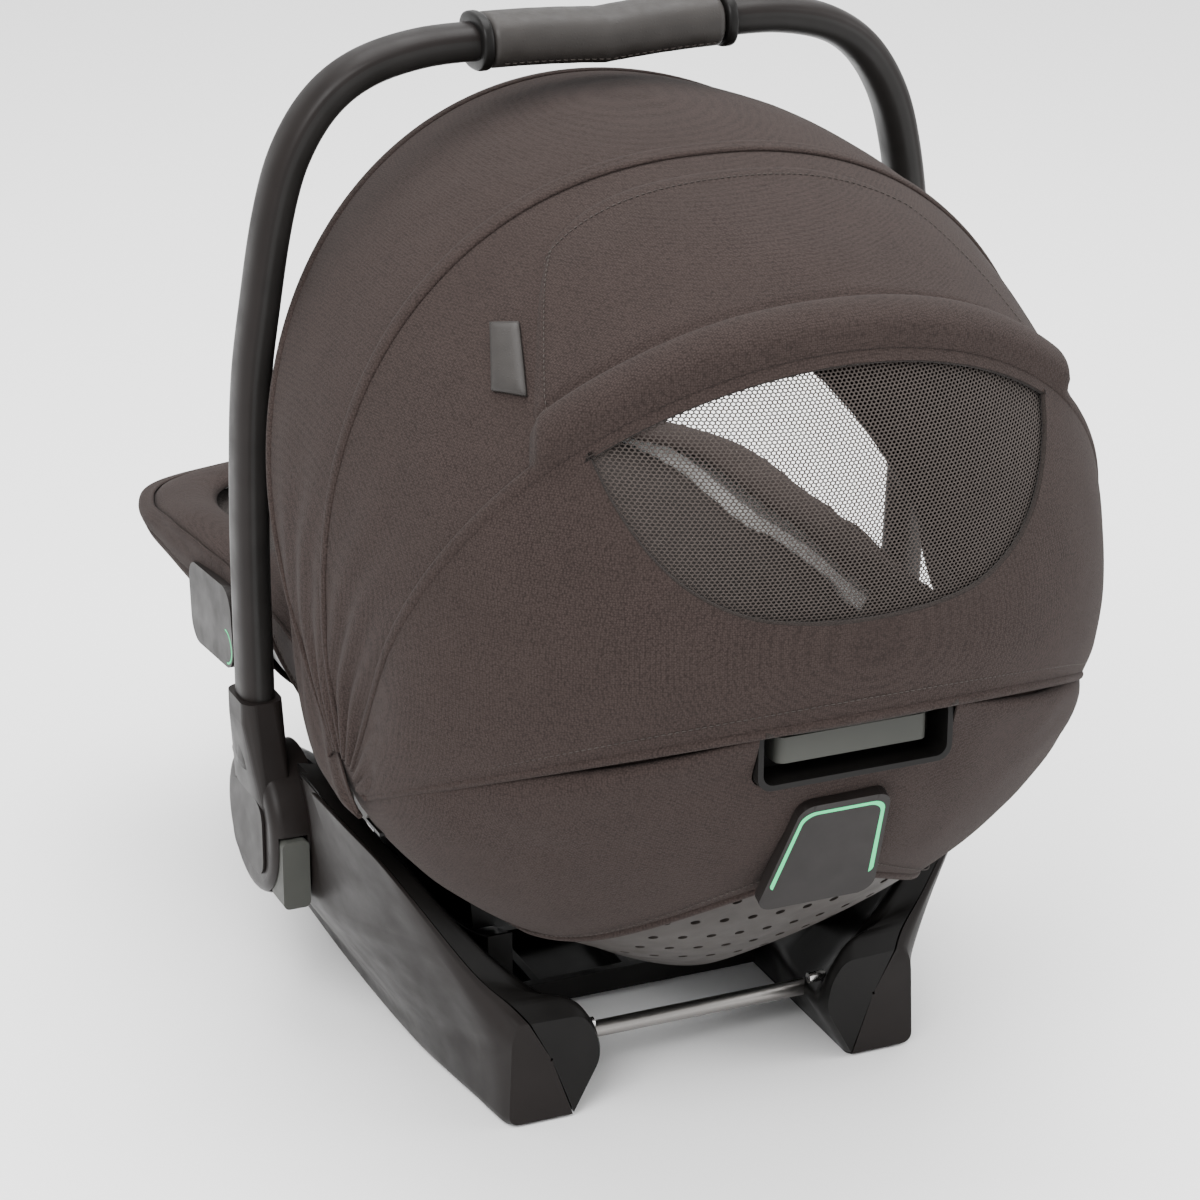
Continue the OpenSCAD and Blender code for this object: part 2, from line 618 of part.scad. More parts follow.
// Half of the window's outline, from the top corner to the bottom: x and z
window_line = [[126, 434], [119, 408], [106, 384], [88, 366], [62, 353], [30, 348], [0, 347]];
module window_prism(grow) {
  right = [for (p = window_line) [p[0] + (p[0] > 0 ? grow : 0), p[1] - grow]];
  left = [for (i = [len(right) - 2:-1:0]) [-right[i][0], right[i][1]]];
  translate([0, -250, 0]) rotate([90, 0, 0]) linear_extrude(150)
    polygon(concat([[126 + grow, 470 + grow]], right, left, [[-126 - grow, 470 + grow]]));
}
window_top = 3;
module canopy_rear_panel() {
  color(fabric) difference() {
    cloth(bow_rear_row + [window_top / 4, 0, 0, 0, 0], hem_row, 9);
    intersection() {
      window_prism(0);
      box([-200, -400, 300], [200, -200, 448]);
    }
  }
}
module window_mesh() {
  color([0.45, 0.42, 0.4]) intersection() {
    cloth(bow_rear_row + [window_top / 4, 0, 0, 0, 0], hem_row, 9, d0 = 0.8, d1 = 1.8);
    window_prism(-0.3);
    box([-200, -400, 300], [200, -200, 447.6]);
  }
}
module canopy_mid_panel() { color(fabric) cloth(bow_middle_row, bow_rear_row, 5, sag = 9); }
module canopy_front_panel() { color(fabric) cloth(bow_front_row, bow_middle_row - [0.3, 0, 0, 0, 0], 5, sag = 4); }
module canopy_visor() { color(fabric) cloth(bow_visor_row, bow_front_row - [0.3, 0, 0, 0, 0], 5, sag = 5); }
// Rolled window cover on the middle panel
module window_flap() {
  flap = [for (k = [0, 1]) [for (i = [0:4]) let (q = mix(0.16, 0.97, i / 4),
          r = mix(bow_middle_row, bow_rear_row, q) - [0, 36 * q * (1 - q), 0, 0, 0])
          [for (j = [0:20]) bow_point(r, mix(0.28, 0.72, j / 20), k == 0 ? -3.4 : -0.6, pivot_x)]]];
  color(fabric) slab(flap[0], flap[1]);
}
tab_rows = [for (q = [0.3, 0.46, 0.62]) mix(bow_middle_row, bow_rear_row, q)];
module label_tab() {
  color(black) intersection() {
    slab([for (r = tab_rows) [for (v = [0.24:0.02:0.36]) bow_point(r, v, -2, pivot_x)]],
         [for (r = tab_rows) [for (v = [0.24:0.02:0.36]) bow_point(r, v, -0.6, pivot_x)]]);
    box([-186, -260, 380], [-150, -160, 440]);
  }
}

rail_left();
rail_right();
rail_cover_left();
rail_cover_right();
rear_dock_rod();
front_dock_rod();
cross_pan();
glide_track_left();
glide_track_right();
rail_screws();
hub_spindle_left();
hub_spindle_right();
handle_tube();
grip_sleeve();
grip_rings();
handle_hub_left();
handle_hub_right();
hub_cap_left();
hub_cap_right();
release_button_left();
release_button_right();
button_springs_left();
button_springs_right();
shell_bucket();
shell_glides();
shell_cover();
foot_cover();
foam_liner();
seat_pad();
headrest();
shoulder_straps();
hip_straps();
crotch_strap();
chest_pads();
buckle_body();
buckle_button();
adjuster_housing();
adjuster_button();
adjuster_strap();
recess_liner();
recline_handle();
belt_paddle();
paddle_inlay();
belt_guide_left();
belt_guide_right();
belt_guide_inlays();
canopy_mount_left();
canopy_mount_right();
bow_rear();
bow_middle();
bow_front();
bow_visor();
canopy_rear_panel();
window_mesh();
canopy_mid_panel();
canopy_front_panel();
canopy_visor();
window_flap();
label_tab();
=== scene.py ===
"""Looks of an infant car seat: cloth, padding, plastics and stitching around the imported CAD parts."""
import json
import math

import bmesh
import bpy
import numpy as np
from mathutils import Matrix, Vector, noise


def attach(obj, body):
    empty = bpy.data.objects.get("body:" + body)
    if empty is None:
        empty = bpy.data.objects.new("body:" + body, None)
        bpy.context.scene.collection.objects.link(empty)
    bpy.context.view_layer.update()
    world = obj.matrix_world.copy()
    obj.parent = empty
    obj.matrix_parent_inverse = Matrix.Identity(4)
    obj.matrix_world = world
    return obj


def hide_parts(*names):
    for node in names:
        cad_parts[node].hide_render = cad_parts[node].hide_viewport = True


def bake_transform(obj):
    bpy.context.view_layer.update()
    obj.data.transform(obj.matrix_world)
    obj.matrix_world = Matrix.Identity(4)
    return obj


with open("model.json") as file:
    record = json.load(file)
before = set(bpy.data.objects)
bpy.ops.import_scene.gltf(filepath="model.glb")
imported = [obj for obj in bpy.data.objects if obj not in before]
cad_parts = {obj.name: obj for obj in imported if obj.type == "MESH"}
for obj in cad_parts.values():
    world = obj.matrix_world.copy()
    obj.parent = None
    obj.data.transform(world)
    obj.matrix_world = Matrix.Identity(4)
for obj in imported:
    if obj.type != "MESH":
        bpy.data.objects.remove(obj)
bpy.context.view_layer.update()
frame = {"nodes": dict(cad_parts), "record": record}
MM = 0.001

# ---- dimensions shared with the CAD part, in millimetres ----
HUB_Y, HUB_Z = 4.0, 124.0
PIVOT_X, PIVOT_Y, PIVOT_Z = 202.0, -148.0, 201.0
RECLINE_Y, RECLINE_Z = -20.0, 330.0
SHELL_MID_Z = 250.0
SHELL_SIZE = np.array([203.0, 347.0, 205.0])
BUCKET_D, PAD_D, PAD_T = 7.5, 29.5, 13.0
STRAP_D = PAD_D + PAD_T + 1.5
# angle behind straight down, half width, radius of the rim, radius of the keel, roundness
SHELL_ROWS = np.array([
    [83.4, 36, 329, 329.5, 2], [82.3, 64, 322, 328, 2], [80.7, 92, 312, 326, 2],
    [78.6, 122, 297, 323, 2], [75.4, 156, 268, 320, 2], [71, 181, 236, 317, 2],
    [64.5, 196, 210, 312, 2], [56, 203, 186, 307, 2.05], [48, 203, 165, 304.5, 2.05],
    [40, 201, 140, 303, 1.9], [30, 196, 122, 303, 1.55], [15, 190, 105, 303, 1.5],
    [0, 187, 97, 303, 1.5], [-20, 187, 98, 303, 1.55], [-38, 187, 117, 308, 1.8],
    [-52, 186, 150, 326, 2.3], [-61, 189, 192, 352, 2.9], [-66.5, 190, 244, 376, 3.3],
    [-69.5, 184, 305, 389, 3.3], [-71.2, 164, 350, 393.5, 3], [-72, 118, 374, 395, 2.6],
    [-72.6, 50, 389, 395, 2.2]])
SHELL_END = len(SHELL_ROWS) - 1
# angle behind upright, apex radius, half width, radius where the leg ends, roundness
VISOR = np.array([-53, 338, 190, 120, 2.0])
FRONT = np.array([-28.3, 374, 213, 139, 2.0])
MIDDLE = np.array([-1, 327, 210, 104, 2.27])
REAR = np.array([30.4, 316, 201, 104, 2.0])
HEM = np.array([65, 221, 200, 30, 2.0])
CLOTH_START, LEG_PART = 26.0, 0.14
# y, floor height, then x and z of: floor inner, floor outer, crease, mid wall, rim outer,
# rim inner, inner wall, inner foot (the first two share the floor height)
RAIL_ROWS = np.array([
    [-179, 2, 86, 124, 122, 50, 121, 56, 118, 63, 80, 62, 72, 50, 69, 34],
    [-172, 0, 85, 126, 125, 49, 127, 60, 127, 73, 84, 71, 72, 54, 66, 34],
    [-164, 0, 85, 127, 128, 47, 137, 72, 144, 96, 112, 80, 90, 66, 66, 34],
    [-154, 0, 85, 128, 130, 44, 152, 96, 173, 142, 150, 128, 112, 78, 67, 34],
    [-142, 0, 85, 129, 132, 41, 160, 100, 185, 160, 168, 154, 124, 84, 68, 33],
    [-115, 0, 85, 132, 138, 34, 171, 98, 193, 169, 176, 164, 134, 88, 72, 32],
    [-75, 0, 85, 136, 142, 24, 181, 92, 195, 170, 174, 163, 136, 92, 80, 30],
    [-17, 0, 85, 138, 142, 17, 188, 88, 196, 168, 164, 160, 136, 96, 82, 28],
    [50, 0, 85, 138, 142, 17, 184, 84, 193, 152, 163, 145, 134, 92, 82, 28],
    [120, 0, 85, 136, 141, 18, 170, 72, 180, 120, 152, 112, 128, 74, 82, 28],
    [180, 0, 85, 134, 138, 20, 153, 54, 161, 86, 136, 79, 118, 54, 84, 28],
    [228, 5, 88, 128, 131, 26, 138, 42, 142, 60, 122, 56, 110, 44, 90, 30],
    [258, 16, 94, 120, 123, 30, 126, 38, 127, 46, 114, 45, 106, 40, 97, 32]], float)
# Half of the handle's centre line from the socket to the middle of the grip: x and z
HANDLE_LINE = np.array([
    [203, 160], [203, 210], [204, 300], [202, 380], [195, 436], [187, 482], [177, 514],
    [160, 540], [137, 556], [105, 564], [68, 565], [30, 563], [0, 562]], float)
TUBE_W, TUBE_D, GRIP_HALF = 20.0, 29.0, 68.0
# Where the groove between the tube's two tones lies, as a cosine round its section
GROOVE = -0.3
# Opening of the recline handle's recess: width, height, corner radius, height of its middle
RECESS_W, RECESS_H, RECESS_R, RECESS_Z = 109.2, 64.0, 9.0, 288.0
# Rows of the shell where the fabric's hem meets the rim and the keel
HEM_RIM_ROW, HEM_KEEL_ROW = 13.5, 6.5
# Visor corner: reach behind the pivot, front, lowest height, size of the round part, share that is level
CORNER_BACK, CORNER_FRONT_Y, CORNER_LOW_Z = 20.0, -36.0, 198.0
CORNER_ROUND_Y, CORNER_ROUND_Z, CORNER_LEVEL = 70.0, 85.0, 0.35


# ---- small helpers ----
def mix(a, b, t):
    return a + (b - a) * t


def ease(t):
    t = min(max(t, 0.0), 1.0)
    return t * t * (3 - 2 * t)


def power(v, n):
    return math.copysign(abs(v) ** n, v)


def cosd(a):
    return math.cos(math.radians(a))


def sind(a):
    return math.sin(math.radians(a))


def unit(v):
    return v / max(np.linalg.norm(v), 1e-9)


def row_at(table, u):
    """Smooth value of a table of rows at a fractional row number (Catmull-Rom)."""
    last = len(table) - 1
    i = min(max(int(math.floor(u)), 0), last - 1)
    t = u - i
    p0, p1, p2, p3 = table[max(i - 1, 0)], table[i], table[i + 1], table[min(i + 2, last)]
    return p1 + ((p2 - p0) * t + (2 * p0 - 5 * p1 + 4 * p2 - p3) * t ** 2
                 + (3 * p1 - p0 - 3 * p2 + p3) * t ** 3) / 2


def smooth_path(points, count):
    table = np.array(points, float)
    return np.array([row_at(table, (len(table) - 1) * i / count) for i in range(count + 1)])


def grid(rows, columns, point):
    """Array of the points that point(i, j) gives, with both end rows and both end columns."""
    return np.array([[point(i, j) for j in range(columns + 1)] for i in range(rows + 1)])


def point_at_z(surface, low, high, z, steps):
    """Point at a given height on a line that falls as its parameter grows."""
    for _ in range(steps):
        q = (low + high) / 2
        if surface(q)[2] > z:
            low = q
        else:
            high = q
    return surface(q)


def lumps(p, size, seed=0.0):
    """Smooth noise from -1 to 1 at a point in millimetres, for lumps of that size."""
    return noise.noise(Vector(p) / size + Vector((seed, 0, 0)))


# ---- mesh makers ----
def finish_mesh(name, points, faces, uvs=None):
    mesh = bpy.data.meshes.new(name)
    mesh.from_pydata([tuple(p) for p in np.asarray(points) * MM], [], faces)
    if uvs is not None:
        layer = mesh.uv_layers.new(name="UVMap")
        for loop in mesh.loops:
            layer.data[loop.index].uv = uvs[loop.vertex_index]
    mesh.polygons.foreach_set("use_smooth", [True] * len(mesh.polygons))
    obj = bpy.data.objects.new(name, mesh)
    bpy.context.scene.collection.objects.link(obj)
    return obj


def lengths_along(g):
    """Metric UVs of a grid: the arc length along its middle column and along each row."""
    across = np.zeros(g.shape[:2])
    across[:, 1:] = np.cumsum(np.linalg.norm(np.diff(g, axis=1), axis=2), axis=1)
    across -= across[:, g.shape[1] // 2:g.shape[1] // 2 + 1]
    middle = g[:, g.shape[1] // 2]
    down = np.concatenate([[0], np.cumsum(np.linalg.norm(np.diff(middle, axis=0), axis=1))])
    return np.stack([across, np.repeat(down[:, None], g.shape[1], 1)], 2) * MM


def grid_faces(rows, columns, wrap):
    faces = []
    for i in range(rows - 1):
        for j in range(columns if wrap else columns - 1):
            k = (j + 1) % columns
            faces.append((i * columns + j, i * columns + k, (i + 1) * columns + k, (i + 1) * columns + j))
    return faces


def sheet_mesh(name, g, thick=0.0, flip=False):
    """Open grid of points, given a thickness on its inner side."""
    faces = grid_faces(g.shape[0], g.shape[1], False)
    if flip:
        faces = [f[::-1] for f in faces]
    obj = finish_mesh(name, g.reshape(-1, 3), faces, lengths_along(g).reshape(-1, 2))
    if thick:
        solid = obj.modifiers.new("thickness", "SOLIDIFY")
        solid.thickness, solid.offset = thick * MM, -1.0
    return obj


def loft_mesh(name, rings):
    """Closed solid through a row of rings."""
    rings = np.asarray(rings)
    m, n = rings.shape[:2]
    caps = [tuple(range(n))[::-1], tuple((m - 1) * n + j for j in range(n))]
    obj = finish_mesh(name, rings.reshape(-1, 3), grid_faces(m, n, True) + caps)
    tidy_normals(obj)
    return obj


def slab_mesh(name, outer, inner):
    """Closed solid between two grids of the same size."""
    m, n = outer.shape[:2]
    k = m * n
    top = grid_faces(m, n, False)
    rim = [j for j in range(n)] + [i * n + n - 1 for i in range(1, m)]
    rim += [(m - 1) * n + j for j in range(n - 2, -1, -1)] + [i * n for i in range(m - 2, 0, -1)]
    faces = [f[::-1] for f in top] + [tuple(v + k for v in f) for f in top]
    faces += [(a, b, b + k, a + k) for a, b in zip(rim, rim[1:] + rim[:1])]
    obj = finish_mesh(name, np.concatenate([outer.reshape(-1, 3), inner.reshape(-1, 3)]), faces)
    tidy_normals(obj)
    return obj


def edit_mesh(obj, operation):
    bm = bmesh.new()
    bm.from_mesh(obj.data)
    operation(bm)
    bm.to_mesh(obj.data)
    bm.free()


def tidy_normals(obj):
    edit_mesh(obj, lambda bm: bmesh.ops.recalc_face_normals(bm, faces=bm.faces))


def weld(obj, distance):
    edit_mesh(obj, lambda bm: bmesh.ops.remove_doubles(bm, verts=bm.verts, dist=distance * MM))


def tube_mesh(name, path, radius, sides):
    """Round tube along a path."""
    path = np.asarray(path, float)
    rings, normal = [], None
    for i, p in enumerate(path):
        along = unit(path[min(i + 1, len(path) - 1)] - path[max(i - 1, 0)])
        if normal is None:
            normal = np.array([0.0, 0.0, 1.0]) if abs(along[2]) < 0.9 else np.array([0.0, 1.0, 0.0])
        normal = unit(normal - along * (normal @ along))
        side = np.cross(along, normal)
        turns = [360 * k / sides for k in range(sides)]
        rings.append([p + radius * (side * cosd(a) + normal * sind(a)) for a in turns])
    return loft_mesh(name, rings)


def round_rect(w, h, r, steps=6):
    pts = []
    for cx, cy, a0 in ((1, 1, 0), (-1, 1, 90), (-1, -1, 180), (1, -1, 270)):
        for k in range(steps + 1):
            a = a0 + 90 * k / steps
            pts.append((cx * (w / 2 - r) + r * cosd(a), cy * (h / 2 - r) + r * sind(a)))
    return pts


def join_points(pieces):
    """Vertices and faces of many small meshes as one."""
    verts, faces = [], []
    for v, f in pieces:
        base = len(verts)
        verts.extend(v)
        faces.extend(tuple(i + base for i in face) for face in f)
    return np.array(verts), faces


def stitch_mesh(name, path, normals, pitch=3.4, length=2.3, radius=0.32):
    """A row of thread stitches lying on a surface along a path."""
    path, normals = np.asarray(path, float), np.asarray(normals, float)
    steps = np.linalg.norm(np.diff(path, axis=0), axis=1)
    along = np.concatenate([[0], np.cumsum(steps)])
    made = []
    for s in np.arange(pitch / 2, along[-1], pitch):
        ends = [np.array([np.interp(s + o, along, path[:, k]) for k in range(3)])
                for o in (-length / 2, -length / 4, length / 4, length / 2)]
        n = unit(np.array([np.interp(s, along, normals[:, k]) for k in range(3)]))
        side = unit(np.cross(ends[3] - ends[0], n))
        verts = []
        for p, lift, r in zip(ends, (-0.1, 0.22, 0.22, -0.1), (0.5, 1, 1, 0.5)):
            verts += [p + n * lift + radius * r * (side * cosd(a) + n * sind(a)) for a in range(0, 360, 72)]
        faces = [(5 * i + j, 5 * i + (j + 1) % 5, 5 * i + 5 + (j + 1) % 5, 5 * i + 5 + j)
                 for i in range(3) for j in range(5)]
        faces += [(4, 3, 2, 1, 0), (15, 16, 17, 18, 19)]
        made.append((verts, faces))
    verts, faces = join_points(made)
    return finish_mesh(name, verts, faces)


def grid_normals(g):
    du = np.gradient(g, axis=0)
    dv = np.gradient(g, axis=1)
    n = np.cross(dv, du)
    return n / np.maximum(np.linalg.norm(n, axis=2, keepdims=True), 1e-9)


def apply_modifiers(obj):
    graph = bpy.context.evaluated_depsgraph_get()
    mesh = bpy.data.meshes.new_from_object(obj.evaluated_get(graph))
    obj.modifiers.clear()
    obj.data = mesh


def cut(obj, cutters, angle, crossing=False):
    """Takes closed cutters away from a closed object, which may cross itself, and shades the result."""
    for cutter in cutters:
        m = obj.modifiers.new("cut", "BOOLEAN")
        m.operation, m.solver, m.object, m.use_self = "DIFFERENCE", "EXACT", cutter, crossing
    bpy.context.view_layer.update()
    apply_modifiers(obj)
    for cutter in cutters:
        bpy.data.objects.remove(cutter)
    sharpen(obj, angle)


def sharpen(obj, angle):
    obj.data.polygons.foreach_set("use_smooth", [True] * len(obj.data.polygons))
    obj.data.set_sharp_from_angle(angle=math.radians(angle))


def box_mesh(name, low, high):
    (x0, y0, z0), (x1, y1, z1) = low, high
    return loft_mesh(name, [[(x, y0, z0), (x, y1, z0), (x, y1, z1), (x, y0, z1)] for x in (x0, x1)])


def rod_mesh(name, radius, x0, x1, y, z, sides=96):
    turns = [360 * k / sides for k in range(sides)]
    rings = [[(x, y + radius * cosd(a), z + radius * sind(a)) for a in turns] for x in (x0, x1)]
    return loft_mesh(name, rings)


def mirrored(obj, name):
    """Copy of a finished piece on the other side of the middle plane."""
    twin = obj.copy()
    twin.data = obj.data.copy()
    twin.name = name
    bpy.context.scene.collection.objects.link(twin)
    co = np.zeros(len(twin.data.vertices) * 3)
    twin.data.vertices.foreach_get("co", co)
    co[0::3] *= -1
    twin.data.vertices.foreach_set("co", co)
    twin.data.flip_normals()
    return twin


# ---- surfaces ----
def inset(p, d):
    return np.array([p[0] * (1 - d / SHELL_SIZE[0]), p[1] * (1 - d / SHELL_SIZE[1]),
                     SHELL_MID_Z + (p[2] - SHELL_MID_Z) * (1 - d / SHELL_SIZE[2])])


def polar(x, rho, angle):
    return np.array([x, RECLINE_Y - rho * sind(angle), RECLINE_Z - rho * cosd(angle)])


def shell_point(u, t, d):
    """Point of the shell at row u, turned t degrees from the left rim over the keel to the right."""
    a, half, rim, keel, n = row_at(SHELL_ROWS, u)
    rho = mix(rim, keel, power(sind(t), 2 / n))
    return inset(polar(-half * power(cosd(t), 2 / n), rho, a), d)


def shell_at_x(u, x, d):
    a, half, rim, keel, n = row_at(SHELL_ROWS, u)
    q = x / (1 - d / SHELL_SIZE[0]) / half
    s = max(1 - abs(q) ** n, 0) ** (1 / n)
    return inset(polar(q * half, mix(rim, keel, s), a), d)


def bow_point(row, v, d=0.0, px=PIVOT_X):
    """Point of a canopy bow at v = 0..1, from the left leg over the top to the right leg."""
    angle, top, half, knee, n = row
    side, w = (-1, v) if v < 0.5 else (1, 1 - v)
    half = half - d
    if w < LEG_PART:
        s = max(w, 0) / LEG_PART
        x, r = mix(px - d, half, sind(90 * s)), mix(CLOTH_START, knee, s)
    else:
        t = 90 * (w - LEG_PART) / (0.5 - LEG_PART)
        x, r = half * power(cosd(t), 2 / n), mix(knee, top - d, power(sind(t), 2 / n))
    return np.array([side * x, PIVOT_Y - r * sind(angle), PIVOT_Z + r * cosd(angle)])


def rear_at_x(q, x, d):
    """Point of the rear canopy panel at a share q of the way to the hem and a given x."""
    angle, top, half, knee, n = mix(REAR, HEM, q)
    s = max(1 - abs(x / (half - d)) ** n, 0) ** (1 / n)
    r = mix(knee, top - d, s)
    return np.array([x, PIVOT_Y - r * sind(angle), PIVOT_Z + r * cosd(angle)])


def canopy_grid(a, b, rows, columns, sag, d, pleat, seed):
    """Cloth between two bows: it hangs a little inwards, and gathers in pleats near the pivots."""
    def taut(i, j):
        q = i / rows
        return bow_point(mix(a, b, q) - np.array([0, sag * 4 * q * (1 - q), 0, 0, 0]), j / columns, d)

    g = grid(rows, columns, taut)
    n = grid_normals(g)

    def hung(i, j):
        q, v, p = i / rows, j / columns, g[i, j]
        held = math.sin(math.pi * q) ** 0.7
        low = 1 - ease((min(v, 1 - v) - 0.03) / 0.24)
        fold = pleat * low * math.sin(2 * math.pi * (2.6 * q + 1.5 * low + 0.4 * lumps(p, 70, seed)))
        soft = 0.8 * lumps(p, 60, seed) + 0.35 * lumps(p, 22, seed + 5)
        return p - n[i, j] * held * (fold + soft + 0.8)

    return grid(rows, columns, hung)


def outward(g):
    """Normals of a canopy grid, pointing away from the pivot."""
    n = grid_normals(g)
    away = g - np.array([0, PIVOT_Y, PIVOT_Z])
    n[(n * away).sum(2) < 0] *= -1
    return n


# Shortest flat side that a sheet may have, and the least share of its flat rectangle that it may fill
MIN_FLAT, MIN_FILL = 0.0101, 0.31


def declare_cloth(obj, g, share=1.0):
    """Works out what the cloth was cut from: its longest row and column, within those limits, and its area;
    nothing is done with the result.
    """
    steps_u = np.linalg.norm(np.diff(g, axis=0), axis=2)
    steps_v = np.linalg.norm(np.diff(g, axis=1), axis=2)
    width, length = steps_v.sum(1).max() * MM, max(steps_u.sum(0).max() * MM, MIN_FLAT)
    du, dv = np.diff(g, axis=0)[:, :-1], np.diff(g, axis=1)[:-1]
    area = np.linalg.norm(np.cross(du, dv), axis=2).sum() * MM * MM
    area = min(area * share, width * length)
    length = min(length, area / (MIN_FILL * width))


# ---- materials ----
class Shader:
    """Builds one procedural material around a Principled shader."""

    def __init__(self, name, base, rough, **constants):
        self.material = bpy.data.materials.new(name)
        self.material.use_nodes = True
        self.nodes, self.links = self.material.node_tree.nodes, self.material.node_tree.links
        self.shader = self.nodes["Principled BSDF"]
        self.shader.inputs["Roughness"].default_value = rough
        self.shader.inputs["Base Color"].default_value = (*base, 1)
        for key, value in constants.items():
            self.shader.inputs[key.replace("_", " ")].default_value = value
        self.place = self.nodes.new("ShaderNodeTexCoord").outputs["Object"]
        self.height = None

    def node(self, kind, **values):
        n = self.nodes.new("ShaderNode" + kind)
        for key, value in values.items():
            if hasattr(n, key):
                setattr(n, key, value)
            else:
                n.inputs[key.replace("_", " ")].default_value = value
        return n

    def noise(self, size, detail=2.0, source=None):
        """Noise whose lumps are about this many millimetres across."""
        n = self.node("TexNoise", Scale=1000.0 / size, Detail=detail)
        self.links.new(source or self.place, n.inputs["Vector"])
        return n.outputs["Fac"]

    def spread(self, fac, low, high):
        n = self.node("MapRange", From_Min=0.25, From_Max=0.75)
        n.inputs["To Min"].default_value, n.inputs["To Max"].default_value = low, high
        self.links.new(fac, n.inputs["Value"])
        return n.outputs["Result"]

    def tint(self, fac, dark, light):
        """Colour between two tones, driven by a factor."""
        n = self.node("Mix", data_type="RGBA")
        n.inputs[6].default_value, n.inputs[7].default_value = (*dark, 1), (*light, 1)
        self.links.new(fac, n.inputs[0])
        self.links.new(n.outputs[2], self.shader.inputs["Base Color"])

    def rough(self, fac, low, high):
        self.links.new(self.spread(fac, low, high), self.shader.inputs["Roughness"])

    def math(self, operation, a, b):
        n = self.node("Math", operation=operation)
        for i, v in enumerate((a, b)):
            if isinstance(v, (int, float)):
                n.inputs[i].default_value = v
            else:
                self.links.new(v, n.inputs[i])
        return n.outputs[0]

    def bump(self, fac, depth, strength=1.0):
        n = self.node("Bump", Strength=strength)
        n.inputs["Distance"].default_value = depth * MM
        self.links.new(fac, n.inputs["Height"])
        if self.height is not None:
            self.links.new(self.height, n.inputs["Normal"])
        self.height = n.outputs["Normal"]
        self.links.new(self.height, self.shader.inputs["Normal"])


def knit(name, dark, light, loop=1.15, depth=0.28, sheen=0.05):
    """Knitted cover cloth: rounded loops, a soft fuzz and uneven dye."""
    s = Shader(name, light, 0.92, Sheen_Weight=sheen, Sheen_Roughness=0.55, Specular_IOR_Level=0.06)
    loops = s.node("TexVoronoi", feature="F1", Scale=1000.0 / loop, Randomness=0.55)
    s.links.new(s.place, loops.inputs["Vector"])
    speckle = s.math("SUBTRACT", 1.0, s.math("MULTIPLY", loops.outputs["Distance"], 1.25))
    uneven = s.spread(s.noise(26, 3), -0.05, 0.05)
    fibres = s.spread(s.noise(0.7, 2), -0.18, 0.18)
    tone = s.node("Clamp")
    s.links.new(s.math("ADD", s.math("ADD", speckle, uneven), fibres), tone.inputs["Value"])
    s.tint(tone.outputs[0], dark, light)
    s.bump(s.math("ADD", speckle, s.math("MULTIPLY", fibres, 0.7)), depth)
    s.bump(s.noise(9, 2), 0.25, 0.5)
    return s.material


def plastic(name, base, light, rough, grain=0.45, depth=0.02):
    """Moulded plastic with a fine spark-eroded grain and hand wear in the gloss."""
    s = Shader(name, base, rough, Specular_IOR_Level=0.13)
    s.tint(s.spread(s.noise(35, 3), 0.0, 1.0), base, light)
    s.rough(s.noise(18, 4), rough - 0.07, rough + 0.09)
    s.bump(s.noise(grain, 2), depth)
    return s.material


def leather(name, base, light):
    s = Shader(name, base, 0.5, Specular_IOR_Level=0.25)
    cells = s.node("TexVoronoi", feature="DISTANCE_TO_EDGE", Scale=1000.0 / 1.9)
    s.links.new(s.place, cells.inputs["Vector"])
    grain = s.spread(cells.outputs["Distance"], 0.0, 1.0)
    s.tint(s.noise(12, 3), base, light)
    s.rough(s.noise(6, 3), 0.42, 0.62)
    s.bump(grain, 0.14)
    s.bump(s.noise(0.8, 2), 0.05)
    return s.material


def webbing(name, base, light):
    """Woven strap: ribs along its length and a cross weave."""
    s = Shader(name, base, 0.72, Sheen_Weight=0.2, Specular_IOR_Level=0.3)
    uv = s.nodes["Texture Coordinate"].outputs["UV"]
    waves = []
    for axis, spacing in (("X", 2.1), ("Y", 1.2)):
        wave = s.node("TexWave", wave_type="BANDS", bands_direction=axis, Scale=1000 / spacing / 3.14,
                      Distortion=0.4)
        s.links.new(uv, wave.inputs["Vector"])
        waves.append(wave.outputs["Fac"])
    weave = s.math("MULTIPLY", *waves)
    s.tint(weave, base, light)
    s.bump(weave, 0.25)
    return s.material


def metal(name, base, rough):
    s = Shader(name, base, rough, Metallic=1.0)
    s.rough(s.noise(3, 3), rough - 0.06, rough + 0.09)
    s.bump(s.noise(0.5, 2), 0.008)
    return s.material


def foam_beads(name, base, light):
    s = Shader(name, light, 0.85)
    beads = s.node("TexVoronoi", feature="F1", Scale=1000.0 / 3.2)
    s.links.new(s.place, beads.inputs["Vector"])
    s.tint(beads.outputs["Distance"], light, base)
    s.bump(beads.outputs["Distance"], -0.5)
    return s.material


